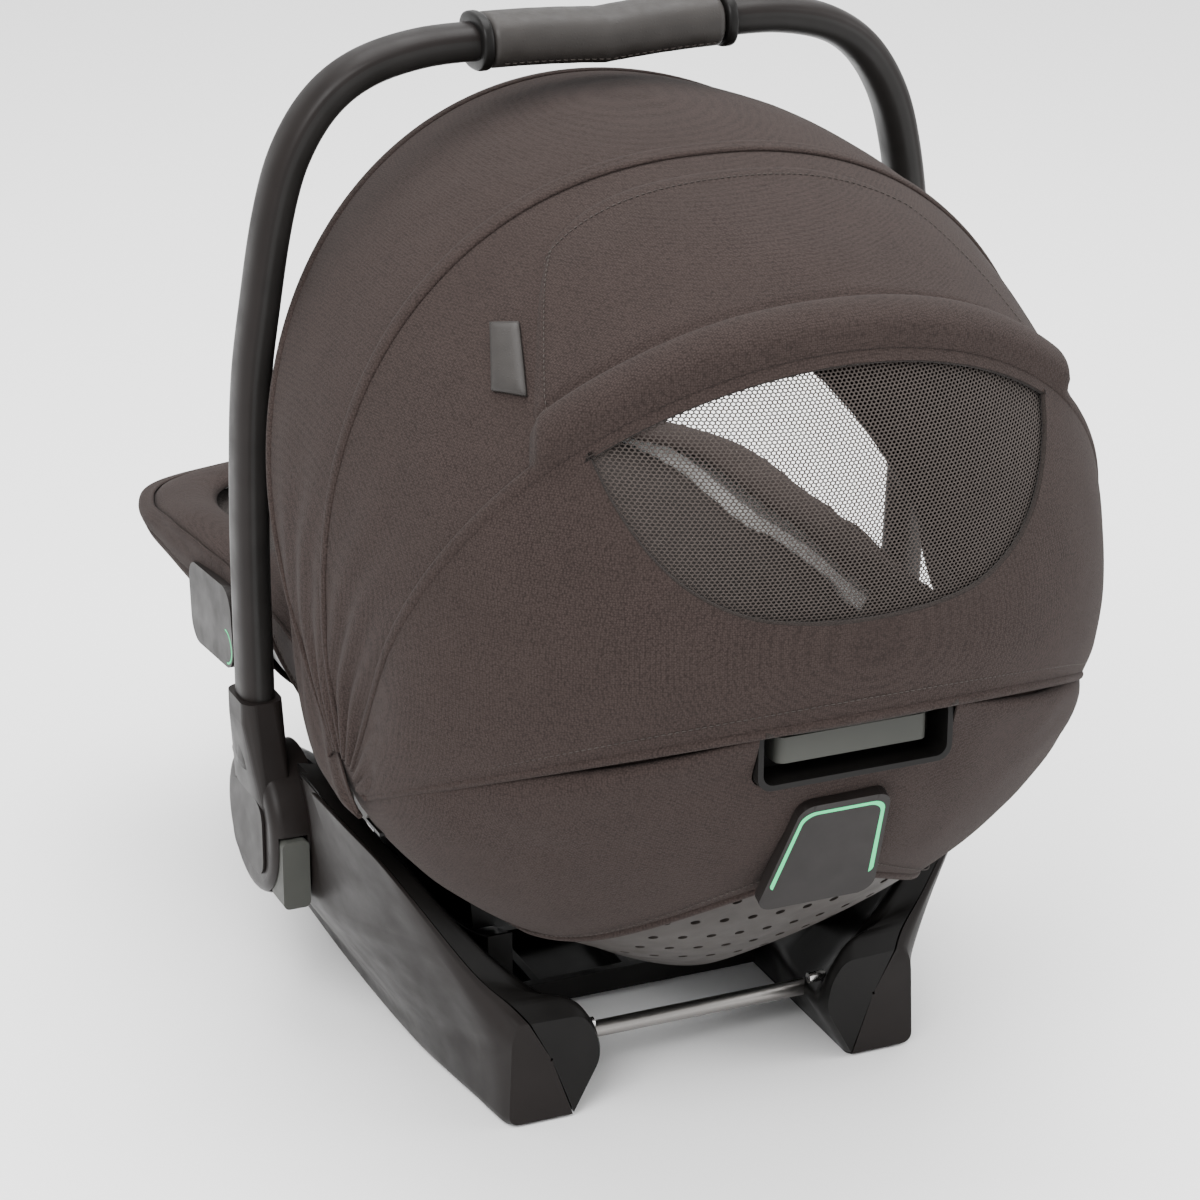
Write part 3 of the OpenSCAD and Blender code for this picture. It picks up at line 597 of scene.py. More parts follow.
DARK = (0.0035, 0.0032, 0.0030)
MATERIALS = {
    "shell_fabric": knit("cover_knit", (0.0150, 0.0108, 0.0098), (0.0370, 0.0268, 0.0242), sheen=0.02),
    "canopy_fabric": knit("canopy_knit", (0.0155, 0.0112, 0.0101), (0.0380, 0.0276, 0.0249), sheen=0.02),
    "pad_fabric": knit("pad_knit", (0.013, 0.0108, 0.0100), (0.036, 0.0297, 0.0270), loop=1.4),
    "window_net": knit("net_yarn", (0.024, 0.020, 0.018), (0.066, 0.054, 0.049), loop=0.5, depth=0.08),
    "shell_plastic": plastic("shell_plastic", (0.0068, 0.0053, 0.0049), (0.0098, 0.0078, 0.0072), 0.42),
    "black_plastic": plastic("black_plastic", DARK, (0.0058, 0.0053, 0.0050), 0.38),
    "rod_steel": metal("rod_steel", (0.23, 0.22, 0.21), 0.34),
    "bright_steel": metal("bright_steel", (0.62, 0.61, 0.60), 0.24),
    "bow_plastic": plastic("bow_plastic", (0.022, 0.020, 0.019), (0.032, 0.030, 0.028), 0.48),
    "grip_leather": leather("grip_leather", (0.014, 0.012, 0.011), (0.026, 0.023, 0.021)),
    "button_grey": plastic("button_grey", (0.036, 0.037, 0.033), (0.045, 0.046, 0.041), 0.46),
    "button_red": plastic("button_red", (0.40, 0.018, 0.014), (0.48, 0.03, 0.02), 0.36),
    "foam": foam_beads("foam_beads", (0.55, 0.55, 0.54), (0.80, 0.80, 0.78)),
    "webbing": webbing("strap_webbing", (0.020, 0.019, 0.019), (0.060, 0.057, 0.055)),
    "guide_green": plastic("guide_green", (0.030, 0.52, 0.20), (0.045, 0.58, 0.24), 0.5),
}
THREAD = plastic("thread", (0.028, 0.023, 0.021), (0.046, 0.039, 0.035), 0.7, 0.3, 0.03)
TRIM = knit("hem_binding", (0.011, 0.009, 0.0082), (0.028, 0.0225, 0.0203), loop=0.8, depth=0.15)
VENT = plastic("vent_plastic", (0.022, 0.0185, 0.0165), (0.030, 0.0255, 0.0230), 0.5)
HANDLE_BACK = plastic("handle_back", (0.008, 0.0075, 0.007), (0.013, 0.012, 0.0115), 0.38)


def paint(obj, material):
    obj.data.materials.clear()
    obj.data.materials.append(material)


def dress(obj, body, slot, nodes=(), material=None):
    """Gives a finished piece its material, chosen by its record slot unless one is given, puts it on its
    body and hides the CAD nodes that it stands for.
    """
    paint(obj, material or MATERIALS[slot])
    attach(obj, body)
    if nodes:
        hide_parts(*nodes)


def sew(name, path, normals, body, slot, *size):
    """A row of thread stitches that rides on a body; size is their pitch and length."""
    dress(stitch_mesh(name, path, normals, *size), body, slot, material=THREAD)


def soften(obj, width=0.5, segments=2, angle=32):
    """Bevels the hard edges of a CAD node with modifiers only."""
    m = obj.modifiers.new("weld", "WELD")
    m.merge_threshold = 0.00002
    b = obj.modifiers.new("bevel", "BEVEL")
    b.width, b.segments, b.limit_method, b.angle_limit = width * MM, segments, "ANGLE", math.radians(angle)
    b.harden_normals = False


# ---- canopy ----
# Cloth between two bows: the bodies of the two bows, their bows, and the reach of the change between them
VISOR_SPAN = ("bow_visor", "bow_front", VISOR, FRONT, 62)
FRONT_SPAN = ("bow_front", "bow_middle", FRONT, MIDDLE, 62)
CROWN_SPAN = ("bow_middle", "shell", MIDDLE, REAR, 66)
BLEND_RADIUS = 260


def dress_span(obj, span, slot, node=None, material=None):
    """Paints cloth that lies between two bows, hides its CAD node and bakes its placement; the line across
    the plane halfway between the bows is worked out but not used, so the cloth follows no bow.
    """
    paint(obj, material or MATERIALS[slot])
    if node:
        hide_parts(node)
    a, b, first, second, reach = span
    angle = (first[0] + second[0]) / 2
    across = np.array([0, -cosd(angle), -sind(angle)])
    middle = np.array([0, PIVOT_Y - BLEND_RADIUS * sind(angle), PIVOT_Z + BLEND_RADIUS * cosd(angle)])
    start, end = (middle + across * reach) * MM, (middle - across * reach) * MM
    tuple(start)
    tuple(end)
    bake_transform(obj)


def canopy_panels():
    parts = (("visor_cloth", VISOR_SPAN, 5, 1.6, 3, "canopy_visor"),
             ("front_cloth", FRONT_SPAN, 4, 1.8, 7, "canopy_front_panel"),
             ("crown_cloth", CROWN_SPAN, 9, 2.2, 11, "canopy_mid_panel"))
    for name, span, sag, pleat, seed, node in parts:
        g = canopy_grid(span[2], span[3], 34, 170, sag, 0.1, pleat, seed)
        panel = sheet_mesh(name, g, 1.1)
        dress_span(panel, span, "canopy_fabric", node)
        declare_cloth(panel, g)


def band_grid(before, row, after, half, lift, d, columns=170, rows=8):
    """Raised cloth band over a bow, half its width to either side."""
    share_a = half / (row[1] * math.radians(abs(row[0] - before[0])))
    share_b = half / (row[1] * math.radians(abs(after[0] - row[0])))

    def point(i, j):
        q = 2 * i / rows - 1
        r = mix(row, before, -q * share_a) if q < 0 else mix(row, after, q * share_b)
        return bow_point(r, j / columns, d - lift * (1 - q ** 4))

    return grid(rows, columns, point)


def canopy_bands():
    """Bow sleeves with a stitch line along each edge."""
    rows = (("visor", mix(VISOR, FRONT, -0.3), VISOR, FRONT, 5.0, "bow_visor"),
            ("front", VISOR, FRONT, MIDDLE, 5.5, "bow_front"),
            ("middle", FRONT, MIDDLE, REAR, 5.5, "bow_middle"),
            ("rear", MIDDLE, REAR, HEM, 5.0, "shell"))
    for name, a, row, b, half, body in rows:
        g = band_grid(a, row, b, half, 1.5, 0.0)
        if name == "visor":
            g = g[3:]
        band = sheet_mesh(f"{name}_bow_sleeve", g, 1.2)
        dress(band, body, "canopy_fabric")
        declare_cloth(band, g)
        n = outward(g)
        for side, i in (("a", 1), ("b", g.shape[0] - 2)):
            if name == "visor" and side == "a":
                continue
            up = n[i, 12:-12]
            sew(f"{name}_sleeve_stitches_{side}", g[i, 12:-12] + up * 0.25, up, body, "canopy_fabric")


def canopy_edges():
    """Bound front edge of the visor and the elastic hem of the rear panel."""
    n = 180
    front = [bow_point(VISOR + np.array([-0.5, 0, 0, 0, 0]), j / n, 0.6) for j in range(n + 1)]
    dress(tube_mesh("visor_edge_binding", front, 2.1, 10), "bow_visor", "canopy_fabric", material=TRIM)
    hem = [bow_point(HEM, j / n, 2.2) for j in range(n + 1)]
    dress(tube_mesh("rear_hem_roll", hem, 3.0, 12), "shell", "canopy_fabric")
    above_hem = 1 - 8 / 130
    line = np.array([bow_point(mix(REAR, HEM, above_hem), j / n, 0.0) for j in range(8, n - 7)])
    out = line - np.array([0, PIVOT_Y, PIVOT_Z - 60])
    sew("rear_hem_stitches", line + 0.02 * unit(out[0]), out, "shell", "canopy_fabric")


# Half of the net window's outline, from its top corner to the middle of its bottom: x and z
WINDOW = [(126, 434), (119, 408), (106, 384), (88, 366), (62, 353), (30, 348), (0, 347)]
# Where the window's top edge runs, as a share of the way from the rear bow to the hem
WINDOW_TOP = 0.045


def window_outline(grow=0.0, steps=24):
    """Outline of the net window in x and z: its bottom curve, and its top just below the rear bow."""
    half = smooth_path([(x + grow * (x > 0), z - grow) for x, z in WINDOW], steps)
    wide = half[0][0]
    top = [(x, rear_at_x(WINDOW_TOP, x, 0)[2] + grow) for x in np.linspace(0, wide, 16)]
    right = np.concatenate([top, half[1:]])
    return np.concatenate([right, (right * [-1, 1])[-2:0:-1], right[:1]])


def rear_panel():
    g = canopy_grid(REAR + np.array([0.4, 0, 0, 0, 0]), HEM, 40, 190, 0, 0.1, 1.2, 21)
    last = g.shape[0] - 1
    for i in range(last + 1):
        g[i, :, 1] += 2.0 * ease((i / last - 0.8) / 0.2)
    panel = sheet_mesh("rear_cloth", g, 1.1)
    bpy.context.view_layer.update()
    apply_modifiers(panel)
    outline = window_outline()
    prism = loft_mesh("window_cutter", [[(x, y, z) for x, z in outline[:-1]] for y in (-420, -225)])
    cut(panel, [prism], 60, crossing=True)
    dress(panel, "shell", "canopy_fabric", ["canopy_rear_panel"])
    declare_cloth(panel, g, share=0.75)
    binding = [rear_point_xz(x, z, -0.5) for x, z in outline_spaced(outline, 3.0)]
    piping = tube_mesh("window_binding", binding, 1.5, 8)
    dress(piping, "shell", "canopy_fabric", material=TRIM)
    ring = [rear_point_xz(x, z, -0.3) for x, z in outline_spaced(window_outline(7.0), 3.0)]
    out = [p - np.array([0, PIVOT_Y, PIVOT_Z]) for p in ring]
    sew("window_stitches", ring, out, "shell", "canopy_fabric")


def rear_point_xz(x, z, d):
    """Point of the rear panel at a given x and z."""
    return point_at_z(lambda q: rear_at_x(q, x, d), -0.12, 1.05, z, 26)


def outline_spaced(outline, step):
    line = np.array(outline, float)
    along = np.concatenate([[0], np.cumsum(np.linalg.norm(np.diff(line, axis=0), axis=1))])
    at = np.linspace(0, along[-1], int(along[-1] / step) + 1)
    return np.stack([np.interp(at, along, line[:, k]) for k in (0, 1)], 1)


def inside(outline, x, z):
    hit = False
    for (x0, z0), (x1, z1) in zip(outline, np.roll(outline, -1, 0)):
        if (z0 > z) != (z1 > z) and x < x0 + (z - z0) * (x1 - x0) / (z1 - z0):
            hit = not hit
    return hit


def window_net():
    """Knitted net: staggered six-sided holes with yarn between them."""
    pitch, hole, row_step, slope = 2.45, 0.70, 0.866, 1.35
    bottom, height, half_columns = 346, 128, 50
    outline = window_outline(2.0)
    verts, faces, area = [], [], 0.0
    for row in range(int(height * slope / (pitch * row_step))):
        z = bottom + row * pitch * row_step / slope
        for column in range(-half_columns, half_columns + 1):
            x = (column + 0.5 * (row % 2)) * pitch
            if not inside(outline, x, z):
                continue
            base = len(verts)
            for scale in (1.0, hole):
                r = pitch / math.sqrt(3) * scale
                for a in range(30, 390, 60):
                    verts.append(rear_point_xz(x + r * cosd(a), z + r * sind(a) / slope, 2.2))
            for k in range(6):
                m = (k + 1) % 6
                faces.append((base + k, base + m, base + 6 + m, base + 6 + k))
            area += pitch * pitch * row_step * (1 - hole * hole)
    net = finish_mesh("window_net", verts, faces)
    weld(net, 0.05)
    solid = net.modifiers.new("yarn", "SOLIDIFY")
    solid.thickness, solid.offset = 0.45 * MM, 0
    dress(net, "shell", "window_net", ["window_mesh"])


def crown_row(q):
    """Row of the crown cloth at a share of the way from the middle to the rear bow, with its sag."""
    held = min(q, 1)
    r = mix(MIDDLE, REAR, held) - np.array([0, 36 * held * (1 - held), 0, 0, 0])
    return r + np.array([(q - 1) * 31 if q > 1 else 0, 0, 0, 0, 0])


def flap_profile(q):
    """Height of the window cover over the crown cloth: nearly flat, then a firm roll at its lower edge."""
    bulge = max(1 - ((q - 0.925) / 0.085) ** 2, 0) ** 0.5
    groove = 1.6 * math.exp(-((q - 0.825) / 0.018) ** 2)
    return 2.4 + 1.4 * ease((q - 0.2) / 0.2) + 8.0 * bulge - groove


def flap_place(a, s):
    """Row share and bow parameter of a point of the window cover: its top corners are rounded."""
    q_top = 0.12 + 0.11 * abs(s) ** 4
    return mix(q_top, 1.03, a), 0.5 + s * mix(0.100, 0.192, a ** 0.75)


def window_flap():
    rows, columns = 64, 96
    top = np.zeros((rows + 1, columns + 1, 3))
    under = top.copy()
    for i in range(rows + 1):
        for j in range(columns + 1):
            q, v = flap_place(i / rows, 2 * j / columns - 1)
            side = ease(min(j, columns - j) / 4)
            ends = ease(min(i, rows - i) / 2.5)
            h = (flap_profile(q) + 0.8 * lumps((v * 700, q * 180, 0), 45, 3)) * side * ends
            top[i, j] = bow_point(crown_row(q), v, -1.0 - h)
            under[i, j] = bow_point(crown_row(q), v, 0.4)
    flap = slab_mesh("window_cover", top, under)
    dress_span(flap, CROWN_SPAN, "canopy_fabric", "window_flap")
    declare_cloth(flap, top)
    n = outward(top)
    for name, path, normal in (("top", top[5], n[5]), ("left", top[5:-14, 4], n[5:-14, 4]),
                               ("right", top[5:-14, -5], n[5:-14, -5])):
        thread = stitch_mesh(f"cover_stitches_{name}", path + normal * 0.2, normal)
        dress_span(thread, CROWN_SPAN, "canopy_fabric", material=THREAD)


# Corners of the leather tab as row share and bow parameter: top left, top right, bottom right, bottom left
TAB = np.array([(0.37, 0.343), (0.45, 0.356), (0.73, 0.335), (0.61, 0.321)])


def label_tab():
    """Blank leather tab that holds the rolled cover."""
    rows, columns = 16, 8

    def side(rise, raised):
        def point(i, j):
            q, v = mix(mix(TAB[0], TAB[1], j / columns), mix(TAB[3], TAB[2], j / columns), i / rows)
            edge = min(ease(min(i, rows - i) / 1.5), ease(min(j, columns - j) / 1.5))
            return bow_point(crown_row(q), v, -rise - raised * edge)
        return grid(rows, columns, point)

    tab = slab_mesh("leather_tab", side(4.6, 1.4), side(3.0, 0))
    dress_span(tab, CROWN_SPAN, "grip_leather", "label_tab")


def corner_edge(q):
    """Lower edge of a visor corner: level behind, then a quarter ellipse up to the front (q 0 to 1)."""
    turn = max(q - CORNER_LEVEL, 0) / (1 - CORNER_LEVEL)
    middle = CORNER_FRONT_Y - CORNER_ROUND_Y
    if turn == 0:
        return mix(PIVOT_Y - CORNER_BACK, middle, q / CORNER_LEVEL), CORNER_LOW_Z
    return middle + CORNER_ROUND_Y * sind(90 * turn), CORNER_LOW_Z + CORNER_ROUND_Z * (1 - cosd(90 * turn))


def visor_corners():
    """Loose lower corners of the visor, between its legs and a rounded edge beside the pivots."""
    rows, columns = 14, 40
    back_y, leg_z = PIVOT_Y - CORNER_BACK, CORNER_LOW_Z + 4
    front_y, front_z = corner_edge(1)

    def point(i, j):
        q, s = j / columns, i / rows
        low_y, low_z = corner_edge(q)
        y, z = mix(mix(back_y, front_y, q), low_y, s), mix(mix(leg_z, front_z + 4, q), low_z, s)
        out = min(math.hypot(y - PIVOT_Y, z - PIVOT_Z) / 120, 1)
        fold = 1.6 * math.sin(math.pi * s) * math.sin(0.42 * j + 0.5 * i)
        return -(204.4 - 10.5 * out + fold), y, z

    g = grid(rows, columns, point)
    corner = sheet_mesh("visor_corner_left", g, 1.1)
    twin = mirrored(corner, "visor_corner_right")
    for piece in (corner, twin):
        dress(piece, "bow_visor", "canopy_fabric")
        declare_cloth(piece, g)


# ---- shell ----
def hem_row(t):
    """Row at which the rear fabric ends, t degrees round the shell: one even sweep from rim to keel."""
    return mix(HEM_RIM_ROW, HEM_KEEL_ROW, ease(1 - abs(t - 90) / 90))


def cover_grid(d, lift, rows=46, columns=150):
    """Fabric over the head end, from the rim down to its curved hem."""
    def point(i, j):
        t = 180 * j / columns
        u = hem_row(t) * i / rows
        p = shell_point(u, t, d)
        wobble = 0.9 * lumps(p, 75, 4) + 0.5 * lumps(p, 28, 9)
        soft = lift * math.sin(math.pi * i / rows) ** 0.6
        return shell_point(u, t, d - soft * (0.6 + wobble))

    return grid(rows, columns, point)


def shell_slab(name, u0, u1, t0, t1, rows, columns, outer, inner):
    """Closed layer of the shell between two rows, two angles and two depths."""
    def layer(d):
        return grid(rows, columns,
                    lambda i, j: shell_point(mix(u0, u1, i / rows), mix(t0, t1, j / columns), d))

    return slab_mesh(name, layer(outer), layer(inner))


def recess_cutter():
    """Round-cornered opening of the recess for the recline handle."""
    outline = round_rect(RECESS_W, RECESS_H, RECESS_R)
    return loft_mesh("recess_cutter", [[(x, y, z + RECESS_Z) for x, z in outline] for y in (-380, -298)])


def guard_boxes():
    """Room for the canopy mounts on both sides of the rim."""
    return [box_mesh(f"mount_cutter_{s}", (min(s * 150, s * 240), PIVOT_Y - 26, PIVOT_Z - 17),
                     (max(s * 150, s * 240), 0, 262)) for s in (-1, 1)]


def shell_skin():
    """Moulded bucket with the recess and the canopy mount pockets cut out."""
    skin = shell_slab("bucket_skin", 0, SHELL_END, 0, 180, 84, 120, BUCKET_D, BUCKET_D + 3.6)
    cut(skin, guard_boxes() + [recess_cutter()], 45)
    dress(skin, "shell", "black_plastic", ["shell_bucket"])


def shell_fabric():
    """Fabric over the head end with its rolled and stitched hem."""
    g = cover_grid(3.4, 2.2)
    cover = slab_mesh("shell_cloth", g, cover_grid(5.0, 2.2))
    cut(cover, [recess_cutter()], 60)
    dress(cover, "shell", "shell_fabric", ["shell_cover"])
    declare_cloth(cover, g, share=0.95)
    hem = [shell_point(hem_row(t), t, 4.0) for t in range(3, 178)]
    dress(tube_mesh("shell_hem_roll", hem, 2.6, 12), "shell", "shell_fabric")
    line = [shell_point(hem_row(t) - 0.28, t, 2.2) for t in range(6, 175)]
    sew("shell_hem_stitches", line, [p - np.array([0, 0, 250]) for p in line], "shell", "shell_fabric")


def vent_panel():
    """Vented panel under the rear fabric: rows of round holes."""
    panel = shell_slab("vent_panel", 6.2, 10.2, 60, 120, 40, 80, 5.4, 7.3)
    hole_r, sides = 2.7, 18
    pins = []
    for u in (6.95, 7.5, 8.05, 8.6, 9.15):
        for x in range(-64, 65, 16):
            p = shell_at_x(u, x, 6.3)
            axis = unit(p - np.array([p[0] * 0.7, -100, 250]))
            side = unit(np.cross(axis, [1, 0, 0]))
            up = np.cross(side, axis)
            verts = [p + axis * s + hole_r * (side * cosd(a) + up * sind(a))
                     for s in (-4, 4) for a in range(0, 360, 360 // sides)]
            caps = [tuple(range(sides))[::-1], tuple(range(sides, 2 * sides))]
            pins.append((verts, grid_faces(2, sides, True) + caps))
    cutter = finish_mesh("vent_cutter", *join_points(pins))
    tidy_normals(cutter)
    cut(panel, [cutter], 40)
    dress(panel, "shell", "shell_plastic", material=VENT)


def foot_fabric():
    """Padded fabric over the foot end with a seam below its rim."""
    rows, columns, first = 70, 170, 14

    def point(i, j):
        u, t = mix(first, SHELL_END, i / rows), 180 * j / columns
        end, near = ease((u - first) / 0.7), min(t, 180 - t)
        puff = 3.2 * ease(near / 7) * end
        seam = 2.4 * math.exp(-((near - 13) / 1.3) ** 2) * end
        p = shell_point(u, t, 4)
        soft = (1.0 * lumps(p, 60, 6) + 0.5 * lumps(p, 24, 2)) * end
        return shell_point(u, t, 4.6 - puff + seam - soft)

    g = grid(rows, columns, point)
    cover = sheet_mesh("foot_cloth", g, 1.6)
    dress(cover, "shell", "shell_fabric", ["foot_cover"])
    declare_cloth(cover, g)
    for side, t in (("left", 14.6), ("right", 165.4)):
        line = [shell_point(mix(14.2, 20.6, k / 90), t, 2.6) for k in range(91)]
        out = [p - np.array([0, 0, p[2] - 30]) for p in line]
        sew(f"foot_seam_stitches_{side}", line, out, "shell", "shell_fabric")


def rim_fabric():
    """Fabric turned over the shell's rim, from the outside to the seat pad."""
    path = [(SHELL_END * k / 150, 0) for k in range(151)]
    foot = [(SHELL_END, 180 * k / 40) for k in range(1, 40)]
    right = [(u, 180) for u, _ in path[::-1]]
    head = [(0, 180 - 180 * k / 30) for k in range(1, 31)]
    stops = path + foot + right + head
    g = np.zeros((13, len(stops), 3))
    for j, (u, t) in enumerate(stops):
        for i in range(13):
            s = i / 12
            p = shell_point(u, t, mix(4.0, PAD_D + PAD_T - 2, s))
            swell = 7.0 * math.sqrt(max(1 - (2 * s - 1) ** 2, 0)) - 2.0 + 0.8 * lumps(p, 40, 8)
            rise = np.array([0, 0, 1.0]) if u > 3 else unit(np.array([0, -0.45, 0.9]))
            under_mount = ease((p[1] - PIVOT_Y + 60) / 20) * ease((PIVOT_Y + 60 - p[1]) / 20)
            g[i, j] = p + rise * swell * (1 - 0.5 * under_mount)
    rim = sheet_mesh("rim_cloth", g, 1.4, flip=True)
    dress(rim, "shell", "shell_fabric")
    declare_cloth(rim, g)


def recess_bezel():
    """Cloth edge round the recline handle's recess."""
    for side, zs in (("upper", 295.0), ("lower", 255.5)):
        line = [rear_skin_point(x, zs) for x in np.linspace(-53, 53, 40)]
        dress(tube_mesh(f"recess_binding_{side}", line, 1.7, 10), "shell", "shell_fabric", material=TRIM)


def rear_skin_point(x, z, d=3.0):
    """Point on the shell's rear at a given x and z."""
    return point_at_z(lambda u: shell_at_x(u, x, d), 0.3, 9.0, z, 24)


# ---- padding ----
def swollen(name, node, voxel, cap, shrink=2.0):
    """Cushion blown up from its CAD solid by a short cloth simulation."""
    source = bpy.data.objects[node]
    pad = bpy.data.objects.new(name, source.data.copy())
    bpy.context.scene.collection.objects.link(pad)
    pad.matrix_world = source.matrix_world
    remesh = pad.modifiers.new("remesh", "REMESH")
    remesh.mode, remesh.voxel_size = "VOXEL", voxel * MM
    inward = pad.modifiers.new("inward", "DISPLACE")
    inward.strength, inward.mid_level = -shrink * MM, 0.0
    bpy.context.view_layer.update()
    apply_modifiers(pad)
    rest = np.zeros(len(pad.data.vertices) * 3)
    pad.data.vertices.foreach_get("co", rest)
    cloth = pad.modifiers.new("swell", "CLOTH")
    cloth.settings.use_pressure = True
    cloth.settings.uniform_pressure_force = 4
    cloth.settings.effector_weights.gravity = 0
    scene = bpy.context.scene
    for f in range(1, 21):
        scene.frame_set(f)
    bpy.context.view_layer.update()
    apply_modifiers(pad)
    scene.frame_set(1)
    moved = np.zeros_like(rest)
    pad.data.vertices.foreach_get("co", moved)
    step = (moved - rest).reshape(-1, 3)
    size = np.linalg.norm(step, axis=1, keepdims=True)
    step *= np.minimum(1, cap * MM / np.maximum(size, 1e-9))
    pad.data.vertices.foreach_set("co", (rest.reshape(-1, 3) + step).ravel())
    smooth = pad.modifiers.new("smooth", "SMOOTH")
    smooth.factor, smooth.iterations = 0.5, 6
    fine = pad.modifiers.new("fine", "SUBSURF")
    fine.levels = fine.render_levels = 1
    bpy.context.view_layer.update()
    apply_modifiers(pad)
    sharpen(pad, 80)
    return pad


def cushions():
    for name, node, body, voxel, cap, fill in (("seat_cushion", "seat_pad", "shell", 6, 4, 0.6),
                                               ("head_cushion", "headrest", "headrest", 5, 4, 0.7),
                                               ("chest_cushions", "chest_pads", "shell", 3.5, 2, 0.7)):
        pad = swollen(name, node, voxel, cap)
        dress(pad, body, "pad_fabric", [node])


def strap(name, node, lines, thick):
    """Webbing straps of one CAD node: each a list of row, middle x and half width."""
    for k, line in enumerate(lines):
        points = smooth_path(line, 40)
        across = np.linspace(-1, 1, 13)
        g = np.array([[shell_at_x(u, x + c * half, STRAP_D) for c in across] for u, x, half in points])
        ribbon = sheet_mesh(f"{name}_{k + 1}", g, thick, flip=True)
        dress(ribbon, "shell", "webbing", [node] if k == 0 else ())
        declare_cloth(ribbon, g)


def harness():
    strap("shoulder_web", "shoulder_straps",
          [[[8, s * 46, 19], [9.5, s * 42, 19], [11.6, s * 22, 15]] for s in (-1, 1)], 1.6)
    for k, side in enumerate((-1, 1)):
        g = np.array([[shell_at_x(mix(12.3, 12.1, i / 40) + c * 0.2, side * mix(128, 30, i / 40), STRAP_D)
                       for c in np.linspace(-1, 1, 13)] for i in range(41)])
        ribbon = sheet_mesh(f"hip_web_{k + 1}", g, 1.6, flip=side < 0)
        dress(ribbon, "shell", "webbing", ["hip_straps"] if k == 0 else ())
        declare_cloth(ribbon, g)
    strap("crotch_web", "crotch_strap", [[[12.75, 0, 18], [13.4, 0, 18], [14, 0, 18]]], 1.6)
    strap("adjuster_web", "adjuster_strap", [[[15.1, 0, 13], [16, 0, 13], [17.2, 0, 13]]], 1.4)


# ---- chassis ----
def filleted(points, radius, steps=5):
    """Polyline with its inner corners rounded, always the same number of points."""
    out = [points[0]]
    for a, p, b in zip(points, points[1:], points[2:]):
        la, lb = np.linalg.norm(a - p), np.linalg.norm(b - p)
        r = min(radius, 0.42 * la, 0.42 * lb)
        pa, pb = p + (a - p) / la * r, p + (b - p) / lb * r
        for k in range(steps + 1):
            t = k / steps
            out.append((1 - t) ** 2 * pa + 2 * t * (1 - t) * p + t * t * pb)
    return out + [points[-1]]


def rail_ring(u, cover):
    r = row_at(RAIL_ROWS, u)
    floor_z = max(r[1], 0)
    c = [np.array(p) for p in ((r[2], floor_z), (r[3], floor_z), (r[4], r[5]), (r[6], r[7]), (r[8], r[9]),
                               (r[10], r[11]), (r[12], r[13]), (r[14], r[15]))]
    middle = (c[1] + c[3] + c[5] + c[7]) / 4
    seam = 0.16
    wall = [mix(c[4], c[5], seam + 0.03), c[5], c[6], c[7], mix(c[0], c[7], 0.035)] if cover else \
           [c[0], c[1], c[2], c[3], c[4], mix(c[4], c[5], seam)]
    outer = filleted(wall, 7.0)
    end = min(u, len(RAIL_ROWS) - 1 - u)
    share = 0.97 if end < 0.35 else 0.22
    inner = [mix(p, middle, share) for p in outer[::-1]]
    return [(p[0], r[0], p[1]) for p in outer + inner]


def hub_cutters():
    return [rod_mesh("drum_cutter", 44.5, 176.5, 230, HUB_Y, HUB_Z),
            rod_mesh("button_cutter", 61, 186.5, 230, HUB_Y, HUB_Z),
            rod_mesh("socket_cutter", 86, 190.5, 230, HUB_Y, HUB_Z, 144),
            box_mesh("leg_cutter", (176.5, HUB_Y - 25, HUB_Z), (230, HUB_Y + 25, 260))]


def rails():
    steps = 78
    last = len(RAIL_ROWS) - 1
    for kind, cover, node, slot in (("side_rail", False, "rail", "shell_plastic"),
                                    ("side_lining", True, "rail_cover", "black_plastic")):
        rail = loft_mesh(f"{kind}_right", [rail_ring(last * i / steps, cover) for i in range(steps + 1)])
        cutters = hub_cutters()
        if cover:
            cutters.append(box_mesh("track_cutter", (93.8, -112.2, 30), (109.2, 72.2, 110)))
        cut(rail, cutters, 38)
        twin = mirrored(rail, f"{kind}_left")
        dress(rail, "chassis", slot, [f"{node}_right"])
        dress(twin, "chassis", slot, [f"{node}_left"])


# ---- handle ----
def handle_y(z):
    return mix(4, -15, (z - HUB_Z) / 438)


def handle_path(count):
    half = smooth_path(HANDLE_LINE, count)
    line = np.concatenate([half, (half * [-1, 1])[-2::-1]])
    return np.array([[x, handle_y(z), z] for x, z in line])


def handle_tube():
    """Carry handle: brown outer face, black inner face, and a fine groove between them."""
    path = handle_path(90)
    sides = 48
    rings = []
    for i, p in enumerate(path):
        along = unit(path[min(i + 1, len(path) - 1)] - path[max(i - 1, 0)])
        across = np.cross(along, [0, 1, 0])
        ring = []
        for k in range(sides):
            c, s = cosd(360 * k / sides), sind(360 * k / sides)
            groove = 1 - 0.06 * (math.exp(-((c - GROOVE) / 0.05) ** 2))
            deep = np.array([0, power(s, 0.8) * TUBE_D / 2, 0])
            ring.append(p + groove * (across * power(c, 0.8) * TUBE_W / 2 + deep))
        rings.append(ring)
    tube = loft_mesh("handle_bow", rings)
    dress(tube, "handle", "shell_plastic", ["handle_tube"])
    tube.data.materials.append(HANDLE_BACK)
    outward_sign = 1 if rings[0][0][0] > path[0][0] else -1
    for f in tube.data.polygons[:(len(rings) - 1) * sides]:
        c = cosd(360 * (f.index % sides + 0.5) / sides) * outward_sign
        f.material_index = int(c < GROOVE * outward_sign)


def grip_height(x):
    return 562 + 3.2 * (1 - (1 - min(abs(x), 70) / 70) ** 2)


def grip_ring(x, grow, sides=56):
    z = grip_height(x)
    return [(x, handle_y(z) + power(sind(360 * k / sides), 0.8) * (TUBE_D + grow) / 2,
             z + power(cosd(360 * k / sides), 0.8) * (TUBE_W + grow) / 2) for k in range(sides)]


